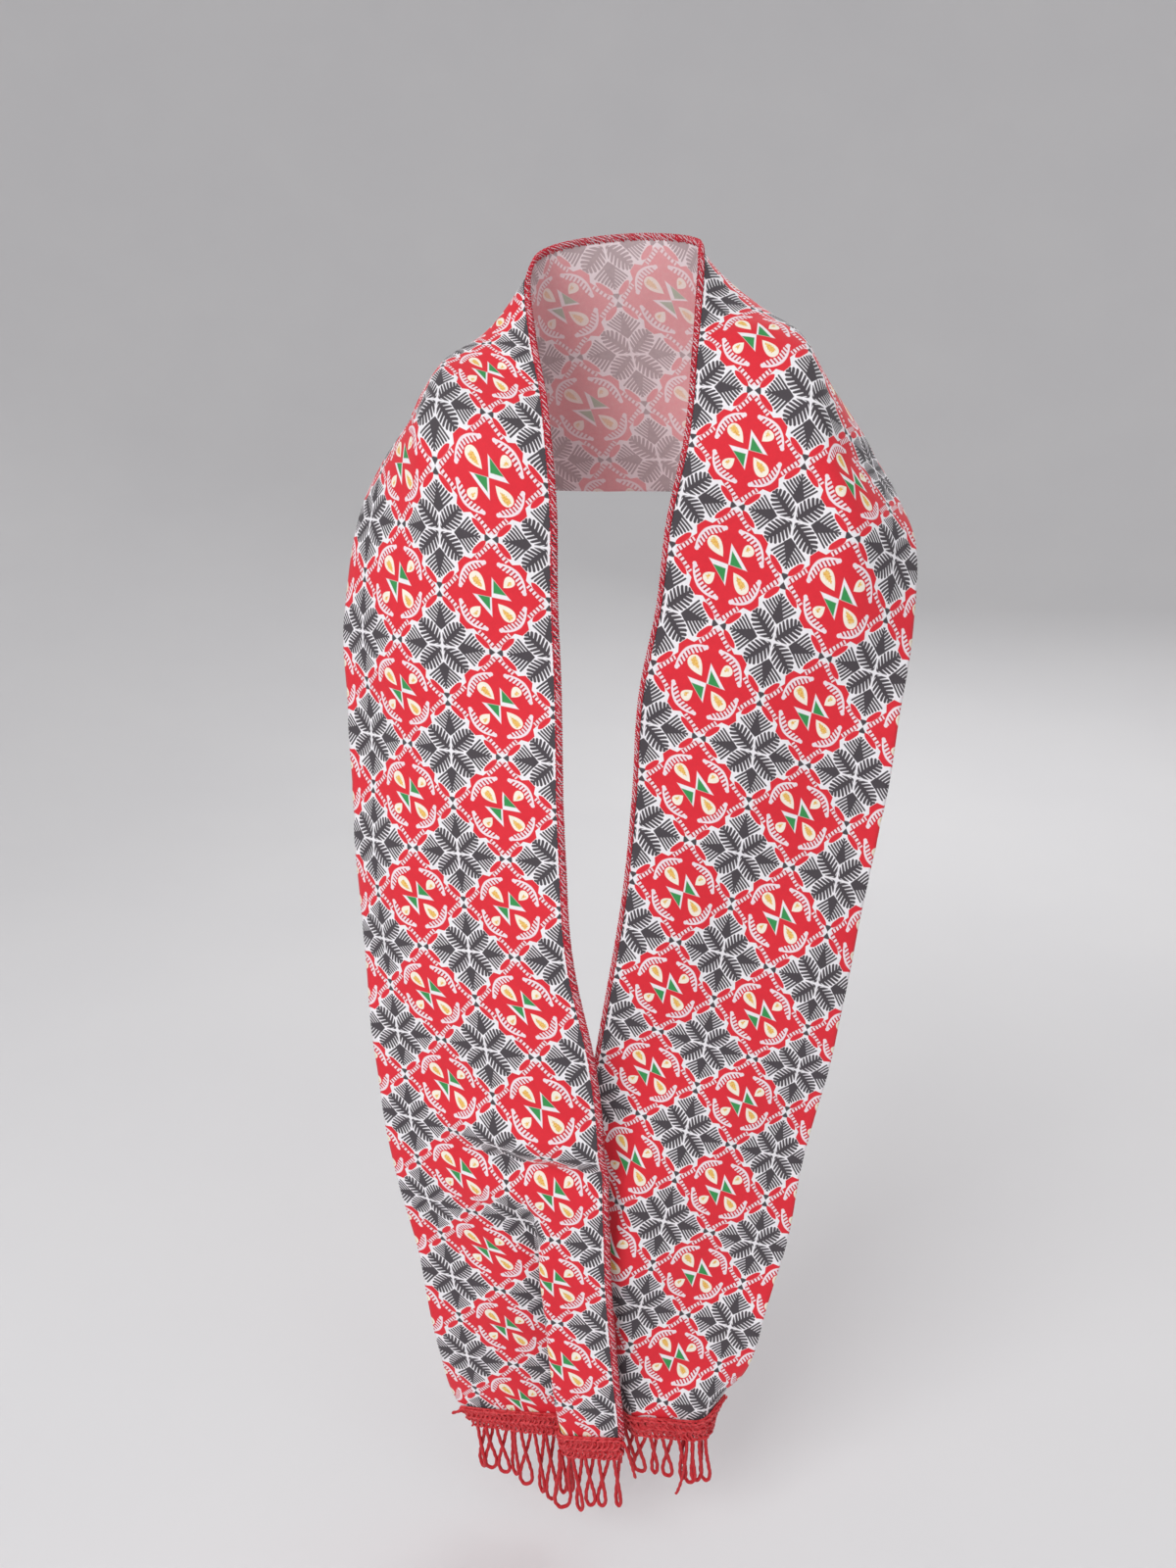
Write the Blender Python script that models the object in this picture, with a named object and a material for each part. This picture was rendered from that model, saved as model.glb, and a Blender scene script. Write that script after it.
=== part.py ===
"""Printed ceremonial scarf, worn round the neck with both ends hanging down the front.

The scarf is one long strip of cloth with a fringe trim sewn across each end. It keeps the
hollow form in which it is worn. Metres, +Z up, the wearer faces -Y and +X is on the
viewer's right. The origin is on the neck's axis, level with the sides of the neck.

The strip is a surface of two cloth measures: `along`, from the hem on the viewer's left,
over the nape, to the hem on the right, and `across`, from the edge at the neck to the
outer edge. Each station is one section across the strip, so its arc length is the width.
"""

from typing import NamedTuple

import bpy
import numpy as np

# The cut of the cloth.
CLOTH_WIDTH = 0.140
CLOTH_LENGTH = 1.555
CLOTH_WALL = 0.0012
SEAM_GAP = 0.0003
STRETCH_GAP = 0.0006

# The fringe trim: a crocheted head sewn over the hem, and the loops that hang from it.
HEAD_HEIGHT = 0.0125
HEAD_THICKNESS = 0.0022
LOOP_REACH = 0.038
LOOP_THICKNESS = 0.0030

# Folds. A turn is spread over a width of cloth, with its middle at a place across it.
CREASE_WIDTH = 0.022
PLEAT_WIDTH = 0.014
PLEAT_TURN_BACK_AT = 0.043
PLEAT_TURN_OUT_AT = 0.0565
CURL_WIDTH = 0.016
CURL_AT = 0.118

# How finely the faceted solids follow the cloth.
HEAD_ROWS = 3
PLAIN_COLUMNS = 25
PLEAT_COLUMNS = 10
SECTION_STEPS = 560
TRAVEL_STEP = 0.02
FACE_STEP = 0.002


class Station(NamedTuple):
    """One section across the strip. Points are in metres and turns are in degrees.

    bow is the even turn of the whole section towards the back, crease a turn at crease_at,
    pleat the turn back and out again of the standing pleat, and curl that of the corner.
    """

    along: float
    inner: tuple
    outer: tuple
    bow: float = 0.0
    crease_at: float = 0.070
    crease: float = 0.0
    pleat: float = 0.0
    curl: float = 0.0


STATIONS = (
    # The stretch on the viewer's left, from its hem up to the side of the neck.
    Station(0.000, (0.021, -0.068, -0.697), (-0.082, -0.042, -0.712), bow=8, pleat=130),
    Station(0.012, (0.021, -0.068, -0.684), (-0.090, -0.042, -0.701), bow=8, pleat=132),
    Station(0.059, (0.017, -0.068, -0.637), (-0.101, -0.047, -0.655), bow=8, pleat=140),
    Station(0.125, (0.012, -0.067, -0.571), (-0.111, -0.050, -0.588), bow=10, pleat=130),
    Station(0.150, (0.011, -0.065, -0.547), (-0.116, -0.051, -0.563), bow=12, pleat=75),
    Station(0.175, (0.010, -0.065, -0.521), (-0.121, -0.051, -0.539), bow=13),
    Station(0.212, (0.008, -0.068, -0.484), (-0.127, -0.050, -0.502), bow=15),
    Station(0.262, (0.003, -0.073, -0.431), (-0.133, -0.045, -0.452), bow=18),
    Station(0.317, (-0.008, -0.071, -0.377), (-0.141, -0.036, -0.396), bow=24),
    Station(0.382, (-0.014, -0.067, -0.313), (-0.147, -0.027, -0.333), bow=28),
    Station(0.467, (-0.018, -0.055, -0.228), (-0.152, -0.016, -0.250), bow=34),
    Station(0.517, (-0.021, -0.048, -0.178), (-0.154, -0.011, -0.200), bow=36, crease=8),
    Station(0.562, (-0.022, -0.045, -0.133), (-0.146, 0.000, -0.152), 34, 0.074, 20),
    Station(0.597, (-0.026, -0.038, -0.097), (-0.139, 0.012, -0.122), 30, 0.072, 34),
    # Over the viewer's left shoulder, round the nape and over the right shoulder.
    Station(0.637, (-0.036, -0.009, -0.069), (-0.130, 0.038, -0.106), 40, 0.064, 44),
    Station(0.672, (-0.043, 0.006, -0.040), (-0.112, 0.060, -0.114), 30, 0.056, 44),
    Station(0.702, (-0.046, 0.014, -0.013), (-0.088, 0.072, -0.122), 18, 0.050, 28),
    Station(0.742, (-0.040, 0.039, 0.005), (-0.046, 0.081, -0.127), 8, 0.050, 4),
    Station(0.782, (0.000, 0.052, 0.012), (0.000, 0.083, -0.127), 4, 0.060),
    Station(0.822, (0.038, 0.041, 0.007), (0.046, 0.081, -0.127), 8, 0.050, 4),
    Station(0.862, (0.044, 0.017, -0.006), (0.089, 0.072, -0.122), 18, 0.050, 28),
    Station(0.892, (0.044, 0.001, -0.033), (0.114, 0.060, -0.114), 30, 0.056, 44),
    Station(0.927, (0.044, -0.016, -0.062), (0.131, 0.042, -0.106), 38, 0.062, 50),
    # The stretch on the viewer's right, down to its hem, which turns in behind the left.
    Station(0.967, (0.043, -0.032, -0.099), (0.149, 0.022, -0.122), 26, 0.070, 44),
    Station(1.017, (0.035, -0.040, -0.143), (0.164, 0.002, -0.156), 18, 0.090, 26),
    Station(1.058, (0.031, -0.044, -0.184), (0.164, -0.010, -0.199), 14, 0.100, 10),
    Station(1.097, (0.024, -0.050, -0.224), (0.159, -0.016, -0.240), 10, 0.080),
    Station(1.157, (0.021, -0.055, -0.283), (0.153, -0.018, -0.299), 8, 0.080),
    Station(1.217, (0.016, -0.060, -0.344), (0.144, -0.022, -0.358), 8, 0.060),
    Station(1.270, (0.008, -0.060, -0.396), (0.137, -0.026, -0.413), 6, 0.050),
    Station(1.315, (0.001, -0.057, -0.439), (0.131, -0.028, -0.453), 4, 0.045, 6),
    Station(1.369, (-0.008, -0.047, -0.492), (0.121, -0.031, -0.506), 0, 0.040, 25),
    Station(1.434, (-0.018, -0.029, -0.563), (0.111, -0.035, -0.570), 0, 0.041, 50),
    Station(1.466, (-0.021, -0.022, -0.597), (0.103, -0.038, -0.602), 0, 0.050, 52),
    Station(1.511, (-0.026, -0.015, -0.637), (0.093, -0.040, -0.646), 0, 0.062, 54, curl=12),
    Station(1.540, (-0.026, -0.010, -0.657), (0.080, -0.034, -0.671), 0, 0.072, 56, curl=50),
    Station(1.555, (-0.025, -0.007, -0.666), (0.073, -0.029, -0.684), 0, 0.076, 54, curl=75),
)
STATION_PLACES = np.array([station.along for station in STATIONS])


class Stretch(NamedTuple):
    """A stretch of the strip that shows: where it starts and ends along it, and its rows."""

    name: str
    start: float
    end: float
    rows: int


STRETCHES = (
    Stretch("left_end", 0.000, 0.262, 14),
    Stretch("left_chest", 0.262, 0.512, 11),
    Stretch("left_shoulder", 0.512, 0.717, 13),
    Stretch("nape", 0.717, 0.847, 10),
    Stretch("right_shoulder", 0.847, 1.052, 13),
    Stretch("right_chest", 1.052, 1.312, 11),
    Stretch("right_end", 1.312, 1.555, 15),
)


class Finish(NamedTuple):
    """A plain finish: the colour seen from afar, in linear light, and the roughness."""

    name: str
    colour: tuple
    roughness: float


PRINTED_COTTON = Finish("printed_cotton", (0.62, 0.20, 0.21, 1.0), 0.85)
CROCHETED_HEAD = Finish("crocheted_head", (0.66, 0.012, 0.028, 1.0), 0.60)
FRINGE_CORD = Finish("fringe_cord", (0.45, 0.013, 0.030, 1.0), 0.65)


def along_stations(values, places):
    """A station's values at these places along the strip, on a smooth cubic through them."""
    values = np.asarray(values, float).reshape(len(STATIONS), -1)
    slopes = np.gradient(values, STATION_PLACES, axis=0)
    last = len(STATIONS) - 2
    index = np.clip(np.searchsorted(STATION_PLACES, places, side="right") - 1, 0, last)
    span = (STATION_PLACES[index + 1] - STATION_PLACES[index])[:, None]
    t = (places - STATION_PLACES[index])[:, None] / span
    return (
        (2 * t**3 - 3 * t**2 + 1) * values[index]
        + (t**3 - 2 * t**2 + t) * span * slopes[index]
        + (3 * t**2 - 2 * t**3) * values[index + 1]
        + (t**3 - t**2) * span * slopes[index + 1]
    )


def turned(across, middle, width):
    """The share of a fold's turn that the section has made at each place across it."""
    t = np.clip((across - middle) / width + 0.5, 0, 1)
    return t * t * (3 - 2 * t)


def headings(places, across):
    """The section's heading at each place, in radians: 0 outwards, and more towards the back."""
    bow, crease_at, crease, pleat, curl = (
        along_stations([getattr(station, name) for station in STATIONS], places)
        for name in ("bow", "crease_at", "crease", "pleat", "curl")
    )
    back_and_out = turned(across, PLEAT_TURN_BACK_AT, PLEAT_WIDTH) - turned(
        across, PLEAT_TURN_OUT_AT, PLEAT_WIDTH
    )
    return np.radians(
        bow * across / CLOTH_WIDTH
        + crease * turned(across, crease_at, CREASE_WIDTH)
        + np.maximum(pleat, 0) * back_and_out
        + np.maximum(curl, 0) * turned(across, CURL_AT, CURL_WIDTH)
    )


def middle_of_strip(places):
    """The point halfway from the inner to the outer edge at each place along the strip."""
    places = np.clip(places, 0, CLOTH_LENGTH)
    inner = along_stations([station.inner for station in STATIONS], places)
    return (inner + along_stations([station.outer for station in STATIONS], places)) / 2


def cloth_points(places, across):
    """Points of the strip's middle surface, shape (places, across, 3).

    A section runs from its inner to its outer point. Its shape is drawn by its headings,
    then turned and scaled so that it ends on both points: by a few per cent, and by up to
    an eighth at the left hem, which the trim gathers.
    """
    places = np.asarray(places, float)
    fine = np.linspace(0, CLOTH_WIDTH, SECTION_STEPS + 1)
    heading = headings(places, fine[None])
    step = CLOTH_WIDTH / SECTION_STEPS
    level = (np.cos(heading[:, 1:]) + np.cos(heading[:, :-1])) / 2
    rise = -(np.sin(heading[:, 1:]) + np.sin(heading[:, :-1])) / 2
    start = np.zeros((len(places), 1))
    level = np.hstack([start, np.cumsum(level * step, axis=1)])
    rise = np.hstack([start, np.cumsum(rise * step, axis=1)])
    end_level, end_rise = level[:, -1:], rise[:, -1:]
    reach = end_level**2 + end_rise**2

    inner = along_stations([station.inner for station in STATIONS], places)
    chord = along_stations([station.outer for station in STATIONS], places) - inner
    length = np.linalg.norm(chord, axis=1, keepdims=True)
    travel = middle_of_strip(places + TRAVEL_STEP) - middle_of_strip(places - TRAVEL_STEP)
    face = np.cross(travel, chord)
    face /= np.linalg.norm(face, axis=1, keepdims=True)
    outwards = (level * end_level + rise * end_rise) / reach * length
    proud = (rise * end_level - level * end_rise) / reach * length

    points = (
        inner[:, None]
        + outwards[..., None] * (chord / length)[:, None]
        + proud[..., None] * face[:, None]
    )
    nearest = np.rint(np.asarray(across) / step).astype(int)
    return points[:, nearest]


def cloth_grid(places, across):
    """Points of the middle surface, and there the unit normal out of the printed face."""
    points = cloth_points(places, across)
    ahead = cloth_points(np.minimum(places + FACE_STEP, CLOTH_LENGTH), across)
    behind = cloth_points(np.maximum(places - FACE_STEP, 0), across)
    out = np.cross(ahead - behind, np.gradient(points, axis=1))
    return points, out / np.linalg.norm(out, axis=2, keepdims=True)


def closed_wall(front, back):
    """Vertices and outward triangles of the wall between two grids of the same shape."""
    rows, columns = front.shape[:2]
    vertices = np.concatenate([front.reshape(-1, 3), back.reshape(-1, 3)])
    index = np.arange(rows * columns).reshape(rows, columns)
    first, ahead = index[:-1, :-1].ravel(), index[1:, :-1].ravel()
    beside, opposite = index[:-1, 1:].ravel(), index[1:, 1:].ravel()
    near = [np.stack([first, ahead, opposite], -1), np.stack([first, opposite, beside], -1)]
    near = np.concatenate(near)
    under = rows * columns
    rim = np.concatenate([index[0, :-1], index[:-1, -1], index[-1, :0:-1], index[:0:-1, 0]])
    onward = np.roll(rim, -1)
    sides = [
        np.stack([rim, onward, onward + under], -1),
        np.stack([rim, onward + under, rim + under], -1),
    ]
    return vertices, np.concatenate([near, near[:, ::-1] + under, *sides])


def add_piece(name, front, back, finish):
    """One named object: the closed wall between two grids, in its finish."""
    vertices, faces = closed_wall(front, back)
    mesh = bpy.data.meshes.new(name)
    mesh.from_pydata(vertices.tolist(), [], faces.tolist())
    mesh.validate()
    mesh.shade_smooth()
    mesh.materials.append(material_of(finish))
    piece = bpy.data.objects.new(name, mesh)
    bpy.context.scene.collection.objects.link(piece)
    return piece


def material_of(finish):
    """The finish as a Principled material, made once."""
    material = bpy.data.materials.get(finish.name)
    if material is None:
        material = bpy.data.materials.new(finish.name)
        material.use_nodes = True
        shader = material.node_tree.nodes["Principled BSDF"]
        shader.inputs["Base Color"].default_value = finish.colour
        shader.inputs["Roughness"].default_value = finish.roughness
        shader.inputs["Metallic"].default_value = 0.0
    return material


def pleat_columns():
    """Places across the left end: even, and closer together over the standing pleat."""
    even = np.linspace(0, CLOTH_WIDTH, 17)
    first = PLEAT_TURN_BACK_AT - PLEAT_WIDTH / 2
    last = PLEAT_TURN_OUT_AT + PLEAT_WIDTH / 2
    clear = even[(even < first - PLEAT_WIDTH / 3) | (even > last + PLEAT_WIDTH / 3)]
    return np.sort(np.concatenate([clear, np.linspace(first, last, PLEAT_COLUMNS)]))


def wall_on(name, middle, out, lift, thickness, finish):
    """A wall of this thickness on a grid of cloth points, its near side lifted off them."""
    near = middle + out * lift
    return add_piece(name, near + out * thickness, near, finish)


def rows_of(stretch):
    """Rows of a stretch, with rows of their own under a trim's head where it has a hem."""
    half_gap = STRETCH_GAP / 2
    if stretch.start == 0:
        head = np.linspace(0, HEAD_HEIGHT, HEAD_ROWS)
        rest = np.linspace(HEAD_HEIGHT, stretch.end - half_gap, stretch.rows)
        return np.concatenate([head, rest[1:]])
    if stretch.end == CLOTH_LENGTH:
        head = np.linspace(CLOTH_LENGTH - HEAD_HEIGHT, CLOTH_LENGTH, HEAD_ROWS)
        rest = np.linspace(stretch.start + half_gap, CLOTH_LENGTH - HEAD_HEIGHT, stretch.rows)
        return np.concatenate([rest[:-1], head])
    return np.linspace(stretch.start + half_gap, stretch.end - half_gap, stretch.rows)


def add_trim(side, middle, out, hem):
    """The trim of one end, on the grid of its stretch: its head and the reach of its loops.

    hem is the index of the grid's row at the hem: the first or the last.
    """
    rows = slice(HEAD_ROWS) if hem == 0 else slice(-HEAD_ROWS, None)
    lift = CLOTH_WALL / 2 + SEAM_GAP
    head = f"{side}_trim_head"
    wall_on(head, middle[rows], out[rows], lift, HEAD_THICKNESS, CROCHETED_HEAD)

    level = out[hem] * (1, 1, 0)
    level /= np.linalg.norm(level, axis=1, keepdims=True)
    under = middle[hem] + out[hem] * (lift + HEAD_THICKNESS / 2)
    under[:, 2] -= np.abs(out[hem, :, 2]) * HEAD_THICKNESS / 2
    top = under - (0, 0, SEAM_GAP)
    foot = under - (0, 0, LOOP_REACH)
    sheet = np.stack([foot, top] if hem == 0 else [top, foot])
    half = LOOP_THICKNESS / 2
    wall_on(f"{side}_trim_loops", sheet, np.stack([level, level]), -half, 2 * half, FRINGE_CORD)


def build():
    """The whole scarf, with no other object left in the scene."""
    for leftover in list(bpy.data.objects):
        bpy.data.objects.remove(leftover, do_unlink=True)

    plain = np.linspace(0, CLOTH_WIDTH, PLAIN_COLUMNS)
    for stretch in STRETCHES:
        across = pleat_columns() if stretch.start == 0 else plain
        middle, out = cloth_grid(rows_of(stretch), across)
        wall_on(stretch.name, middle, out, -CLOTH_WALL / 2, CLOTH_WALL, PRINTED_COTTON)
        if stretch.start == 0:
            add_trim("left", middle, out, hem=0)
        elif stretch.end == CLOTH_LENGTH:
            add_trim("right", middle, out, hem=-1)


build()
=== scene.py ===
"""Looks of a printed ceremonial scarf, worn round the neck with both ends hanging in front.

The scarf is one long strip of thin cotton with a small diamond print, an overlocked edge on
the side of the neck, and a crocheted fringe trim sewn across each end. Metres, +Z up, the
wearer faces -Y and +X is on the viewer's right.

Every piece is placed by two measures of the cloth: `along`, from the hem on the viewer's
left, over the nape, to the hem on the right, and `across`, from the overlocked edge at the
neck to the outer edge.
"""

import logging
from dataclasses import dataclass, field
from enum import Enum
from functools import reduce
from typing import NamedTuple, Union

import bpy
import numpy as np
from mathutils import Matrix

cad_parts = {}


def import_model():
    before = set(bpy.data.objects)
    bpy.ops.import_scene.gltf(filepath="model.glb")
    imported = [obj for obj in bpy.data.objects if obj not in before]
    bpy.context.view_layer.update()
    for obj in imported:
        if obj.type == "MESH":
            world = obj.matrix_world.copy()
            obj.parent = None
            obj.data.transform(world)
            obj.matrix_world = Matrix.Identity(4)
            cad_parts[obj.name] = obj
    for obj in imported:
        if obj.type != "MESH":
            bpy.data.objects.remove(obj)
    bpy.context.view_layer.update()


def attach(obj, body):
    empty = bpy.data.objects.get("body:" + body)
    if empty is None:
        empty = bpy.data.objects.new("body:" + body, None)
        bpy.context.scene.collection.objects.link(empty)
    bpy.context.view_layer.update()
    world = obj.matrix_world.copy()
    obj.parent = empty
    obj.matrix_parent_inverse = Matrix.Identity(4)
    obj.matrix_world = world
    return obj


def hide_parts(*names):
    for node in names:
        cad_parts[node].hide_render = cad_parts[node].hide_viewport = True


LOG = logging.getLogger("scarf")
MM = 0.001

# The cut of the cloth.
CLOTH_WIDTH = 0.140
CLOTH_LENGTH = 1.555

# The curve from display values to light: straight up to the knee, and a power above it.
KNEE, STRAIGHT, OFFSET, POWER = 0.04045, 12.92, 0.055, 2.4


def linear(red: int, green: int, blue: int) -> tuple[float, float, float, float]:
    """A colour for a shader's socket, from its 8-bit display values.

    Args:
        red: display value, 0 to 255.
        green: display value, 0 to 255.
        blue: display value, 0 to 255.

    Returns:
        The colour in linear light, with an alpha of 1.
    """
    display = np.array([red, green, blue]) / 255
    curved = ((display + OFFSET) / (1 + OFFSET)) ** POWER
    return (*np.where(display > KNEE, curved, display / STRAIGHT).tolist(), 1.0)


def unit(vectors: np.ndarray) -> np.ndarray:
    """The vectors along the last axis, brought to a length of 1."""
    return vectors / np.linalg.norm(vectors, axis=-1, keepdims=True)


# ---------------------------------------------------------------------------------------
# The form of the cloth
# ---------------------------------------------------------------------------------------


class Station(NamedTuple):
    """One section across the strip. Points are in metres and turns are in degrees.

    bow is the even turn of the whole section towards the back, crease a turn at crease_at,
    pleat the turn back and out again of the standing pleat, and curl that of the corner.
    """

    along: float
    inner: tuple
    outer: tuple
    bow: float = 0.0
    crease_at: float = 0.070
    crease: float = 0.0
    pleat: float = 0.0
    curl: float = 0.0


STATIONS = (
    # The stretch on the viewer's left, from its hem up to the side of the neck.
    Station(0.000, (0.021, -0.068, -0.697), (-0.082, -0.042, -0.712), bow=8, pleat=130),
    Station(0.012, (0.021, -0.068, -0.684), (-0.090, -0.042, -0.701), bow=8, pleat=132),
    Station(0.059, (0.017, -0.068, -0.637), (-0.101, -0.047, -0.655), bow=8, pleat=140),
    Station(0.125, (0.012, -0.067, -0.571), (-0.111, -0.050, -0.588), bow=10, pleat=130),
    Station(0.150, (0.011, -0.065, -0.547), (-0.116, -0.051, -0.563), bow=12, pleat=75),
    Station(0.175, (0.010, -0.065, -0.521), (-0.121, -0.051, -0.539), bow=13),
    Station(0.212, (0.008, -0.068, -0.484), (-0.127, -0.050, -0.502), bow=15),
    Station(0.262, (0.003, -0.073, -0.431), (-0.133, -0.045, -0.452), bow=18),
    Station(0.317, (-0.008, -0.071, -0.377), (-0.141, -0.036, -0.396), bow=24),
    Station(0.382, (-0.014, -0.067, -0.313), (-0.147, -0.027, -0.333), bow=28),
    Station(0.467, (-0.018, -0.055, -0.228), (-0.152, -0.016, -0.250), bow=34),
    Station(0.517, (-0.021, -0.048, -0.178), (-0.154, -0.011, -0.200), bow=36, crease=8),
    Station(0.562, (-0.022, -0.045, -0.133), (-0.146, 0.000, -0.152), 34, 0.074, 20),
    Station(0.597, (-0.026, -0.038, -0.097), (-0.139, 0.012, -0.122), 30, 0.072, 34),
    # Over the viewer's left shoulder, round the nape and over the right shoulder.
    Station(0.637, (-0.036, -0.009, -0.069), (-0.130, 0.038, -0.106), 40, 0.064, 44),
    Station(0.672, (-0.043, 0.006, -0.040), (-0.112, 0.060, -0.114), 30, 0.056, 44),
    Station(0.702, (-0.046, 0.014, -0.013), (-0.088, 0.072, -0.122), 18, 0.050, 28),
    Station(0.742, (-0.040, 0.039, 0.005), (-0.046, 0.081, -0.127), 8, 0.050, 4),
    Station(0.782, (0.000, 0.052, 0.012), (0.000, 0.083, -0.127), 4, 0.060),
    Station(0.822, (0.038, 0.041, 0.007), (0.046, 0.081, -0.127), 8, 0.050, 4),
    Station(0.862, (0.044, 0.017, -0.006), (0.089, 0.072, -0.122), 18, 0.050, 28),
    Station(0.892, (0.044, 0.001, -0.033), (0.114, 0.060, -0.114), 30, 0.056, 44),
    Station(0.927, (0.044, -0.016, -0.062), (0.131, 0.042, -0.106), 38, 0.062, 50),
    # The stretch on the viewer's right, down to its hem, which turns in behind the left.
    Station(0.967, (0.043, -0.032, -0.099), (0.149, 0.022, -0.122), 26, 0.070, 44),
    Station(1.017, (0.035, -0.040, -0.143), (0.164, 0.002, -0.156), 18, 0.090, 26),
    Station(1.058, (0.031, -0.044, -0.184), (0.164, -0.010, -0.199), 14, 0.100, 10),
    Station(1.097, (0.024, -0.050, -0.224), (0.159, -0.016, -0.240), 10, 0.080),
    Station(1.157, (0.021, -0.055, -0.283), (0.153, -0.018, -0.299), 8, 0.080),
    Station(1.217, (0.016, -0.060, -0.344), (0.144, -0.022, -0.358), 8, 0.060),
    Station(1.270, (0.008, -0.060, -0.396), (0.137, -0.026, -0.413), 6, 0.050),
    Station(1.315, (0.001, -0.057, -0.439), (0.131, -0.028, -0.453), 4, 0.045, 6),
    Station(1.369, (-0.008, -0.047, -0.492), (0.121, -0.031, -0.506), 0, 0.040, 25),
    Station(1.434, (-0.018, -0.029, -0.563), (0.111, -0.035, -0.570), 0, 0.041, 50),
    Station(1.466, (-0.021, -0.022, -0.597), (0.103, -0.038, -0.602), 0, 0.050, 52),
    Station(1.511, (-0.026, -0.015, -0.637), (0.093, -0.040, -0.646), 0, 0.062, 54, curl=12),
    Station(1.540, (-0.026, -0.010, -0.657), (0.080, -0.034, -0.671), 0, 0.072, 56, curl=50),
    Station(1.555, (-0.025, -0.007, -0.666), (0.073, -0.029, -0.684), 0, 0.076, 54, curl=75),
)


class Fold(NamedTuple):
    """A soft ridge or trough of the cloth. Lengths are in metres.

    It runs through the point (along, across), `lean` is how far along it moves for each
    metre across, `half` its half width along, `reach` its half length across, and `height`
    how far it stands out of the printed face, or sinks when it is below zero.
    """

    along: float
    across: float
    lean: float
    half: float
    reach: float
    height: float


FOLDS = (
    # The buckle low on the left front: cloth that bulges over a sharp trough.
    Fold(0.217, 0.045, 0.24, 0.013, 0.060, 6.5 * MM),
    Fold(0.194, 0.038, 0.24, 0.008, 0.045, -5.5 * MM),
    Fold(0.176, 0.050, 0.20, 0.010, 0.050, 2.5 * MM),
    # The creases pressed in while the strip lay folded in four.
    Fold(0.401, 0.070, 0.05, 0.0035, 0.100, -0.7 * MM),
    Fold(0.416, 0.070, 0.05, 0.0035, 0.100, 0.5 * MM),
    Fold(0.789, 0.070, 0.00, 0.0035, 0.100, -0.7 * MM),
    Fold(1.162, 0.070, -0.05, 0.0035, 0.100, -0.7 * MM),
    Fold(1.177, 0.070, -0.05, 0.0035, 0.100, 0.5 * MM),
    # Where the strip bends over the shoulders and hangs off them.
    Fold(0.622, 0.100, 0.10, 0.010, 0.035, -1.6 * MM),
    Fold(0.652, 0.020, 0.30, 0.010, 0.030, 1.2 * MM),
    Fold(0.917, 0.020, -0.30, 0.010, 0.030, 1.2 * MM),
    Fold(0.972, 0.100, -0.40, 0.012, 0.035, -1.8 * MM),
    Fold(1.012, 0.110, -0.30, 0.014, 0.030, 1.8 * MM),
    # The nape, where the lower part is a little too full.
    Fold(0.747, 0.085, 0.10, 0.012, 0.055, 1.8 * MM),
    Fold(0.774, 0.095, -0.06, 0.011, 0.050, -1.6 * MM),
    Fold(0.802, 0.090, 0.05, 0.013, 0.055, 1.7 * MM),
    Fold(0.830, 0.080, -0.10, 0.011, 0.045, -1.3 * MM),
    # Slack low on the right front, above the turned-in margin.
    Fold(1.342, 0.075, 0.30, 0.020, 0.050, -1.5 * MM),
    Fold(1.392, 0.090, 0.30, 0.022, 0.050, 1.5 * MM),
    Fold(1.482, 0.100, -0.30, 0.015, 0.040, 1.6 * MM),
    Fold(1.517, 0.095, -0.30, 0.011, 0.040, -2.0 * MM),
)


class Ripple(NamedTuple):
    """A slow wave over the whole strip.

    `along` and `across` are the metres from crest to crest each way, `phase` is in turns and
    `height` in metres.
    """

    along: float
    across: float
    phase: float
    height: float


RIPPLES = (
    Ripple(0.310, 0.110, 0.10, 1.2 * MM),
    Ripple(0.173, -0.087, 0.45, 0.9 * MM),
    Ripple(0.094, 0.240, 0.70, 0.5 * MM),
    Ripple(0.057, -0.160, 0.25, 0.25 * MM),
)


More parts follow.
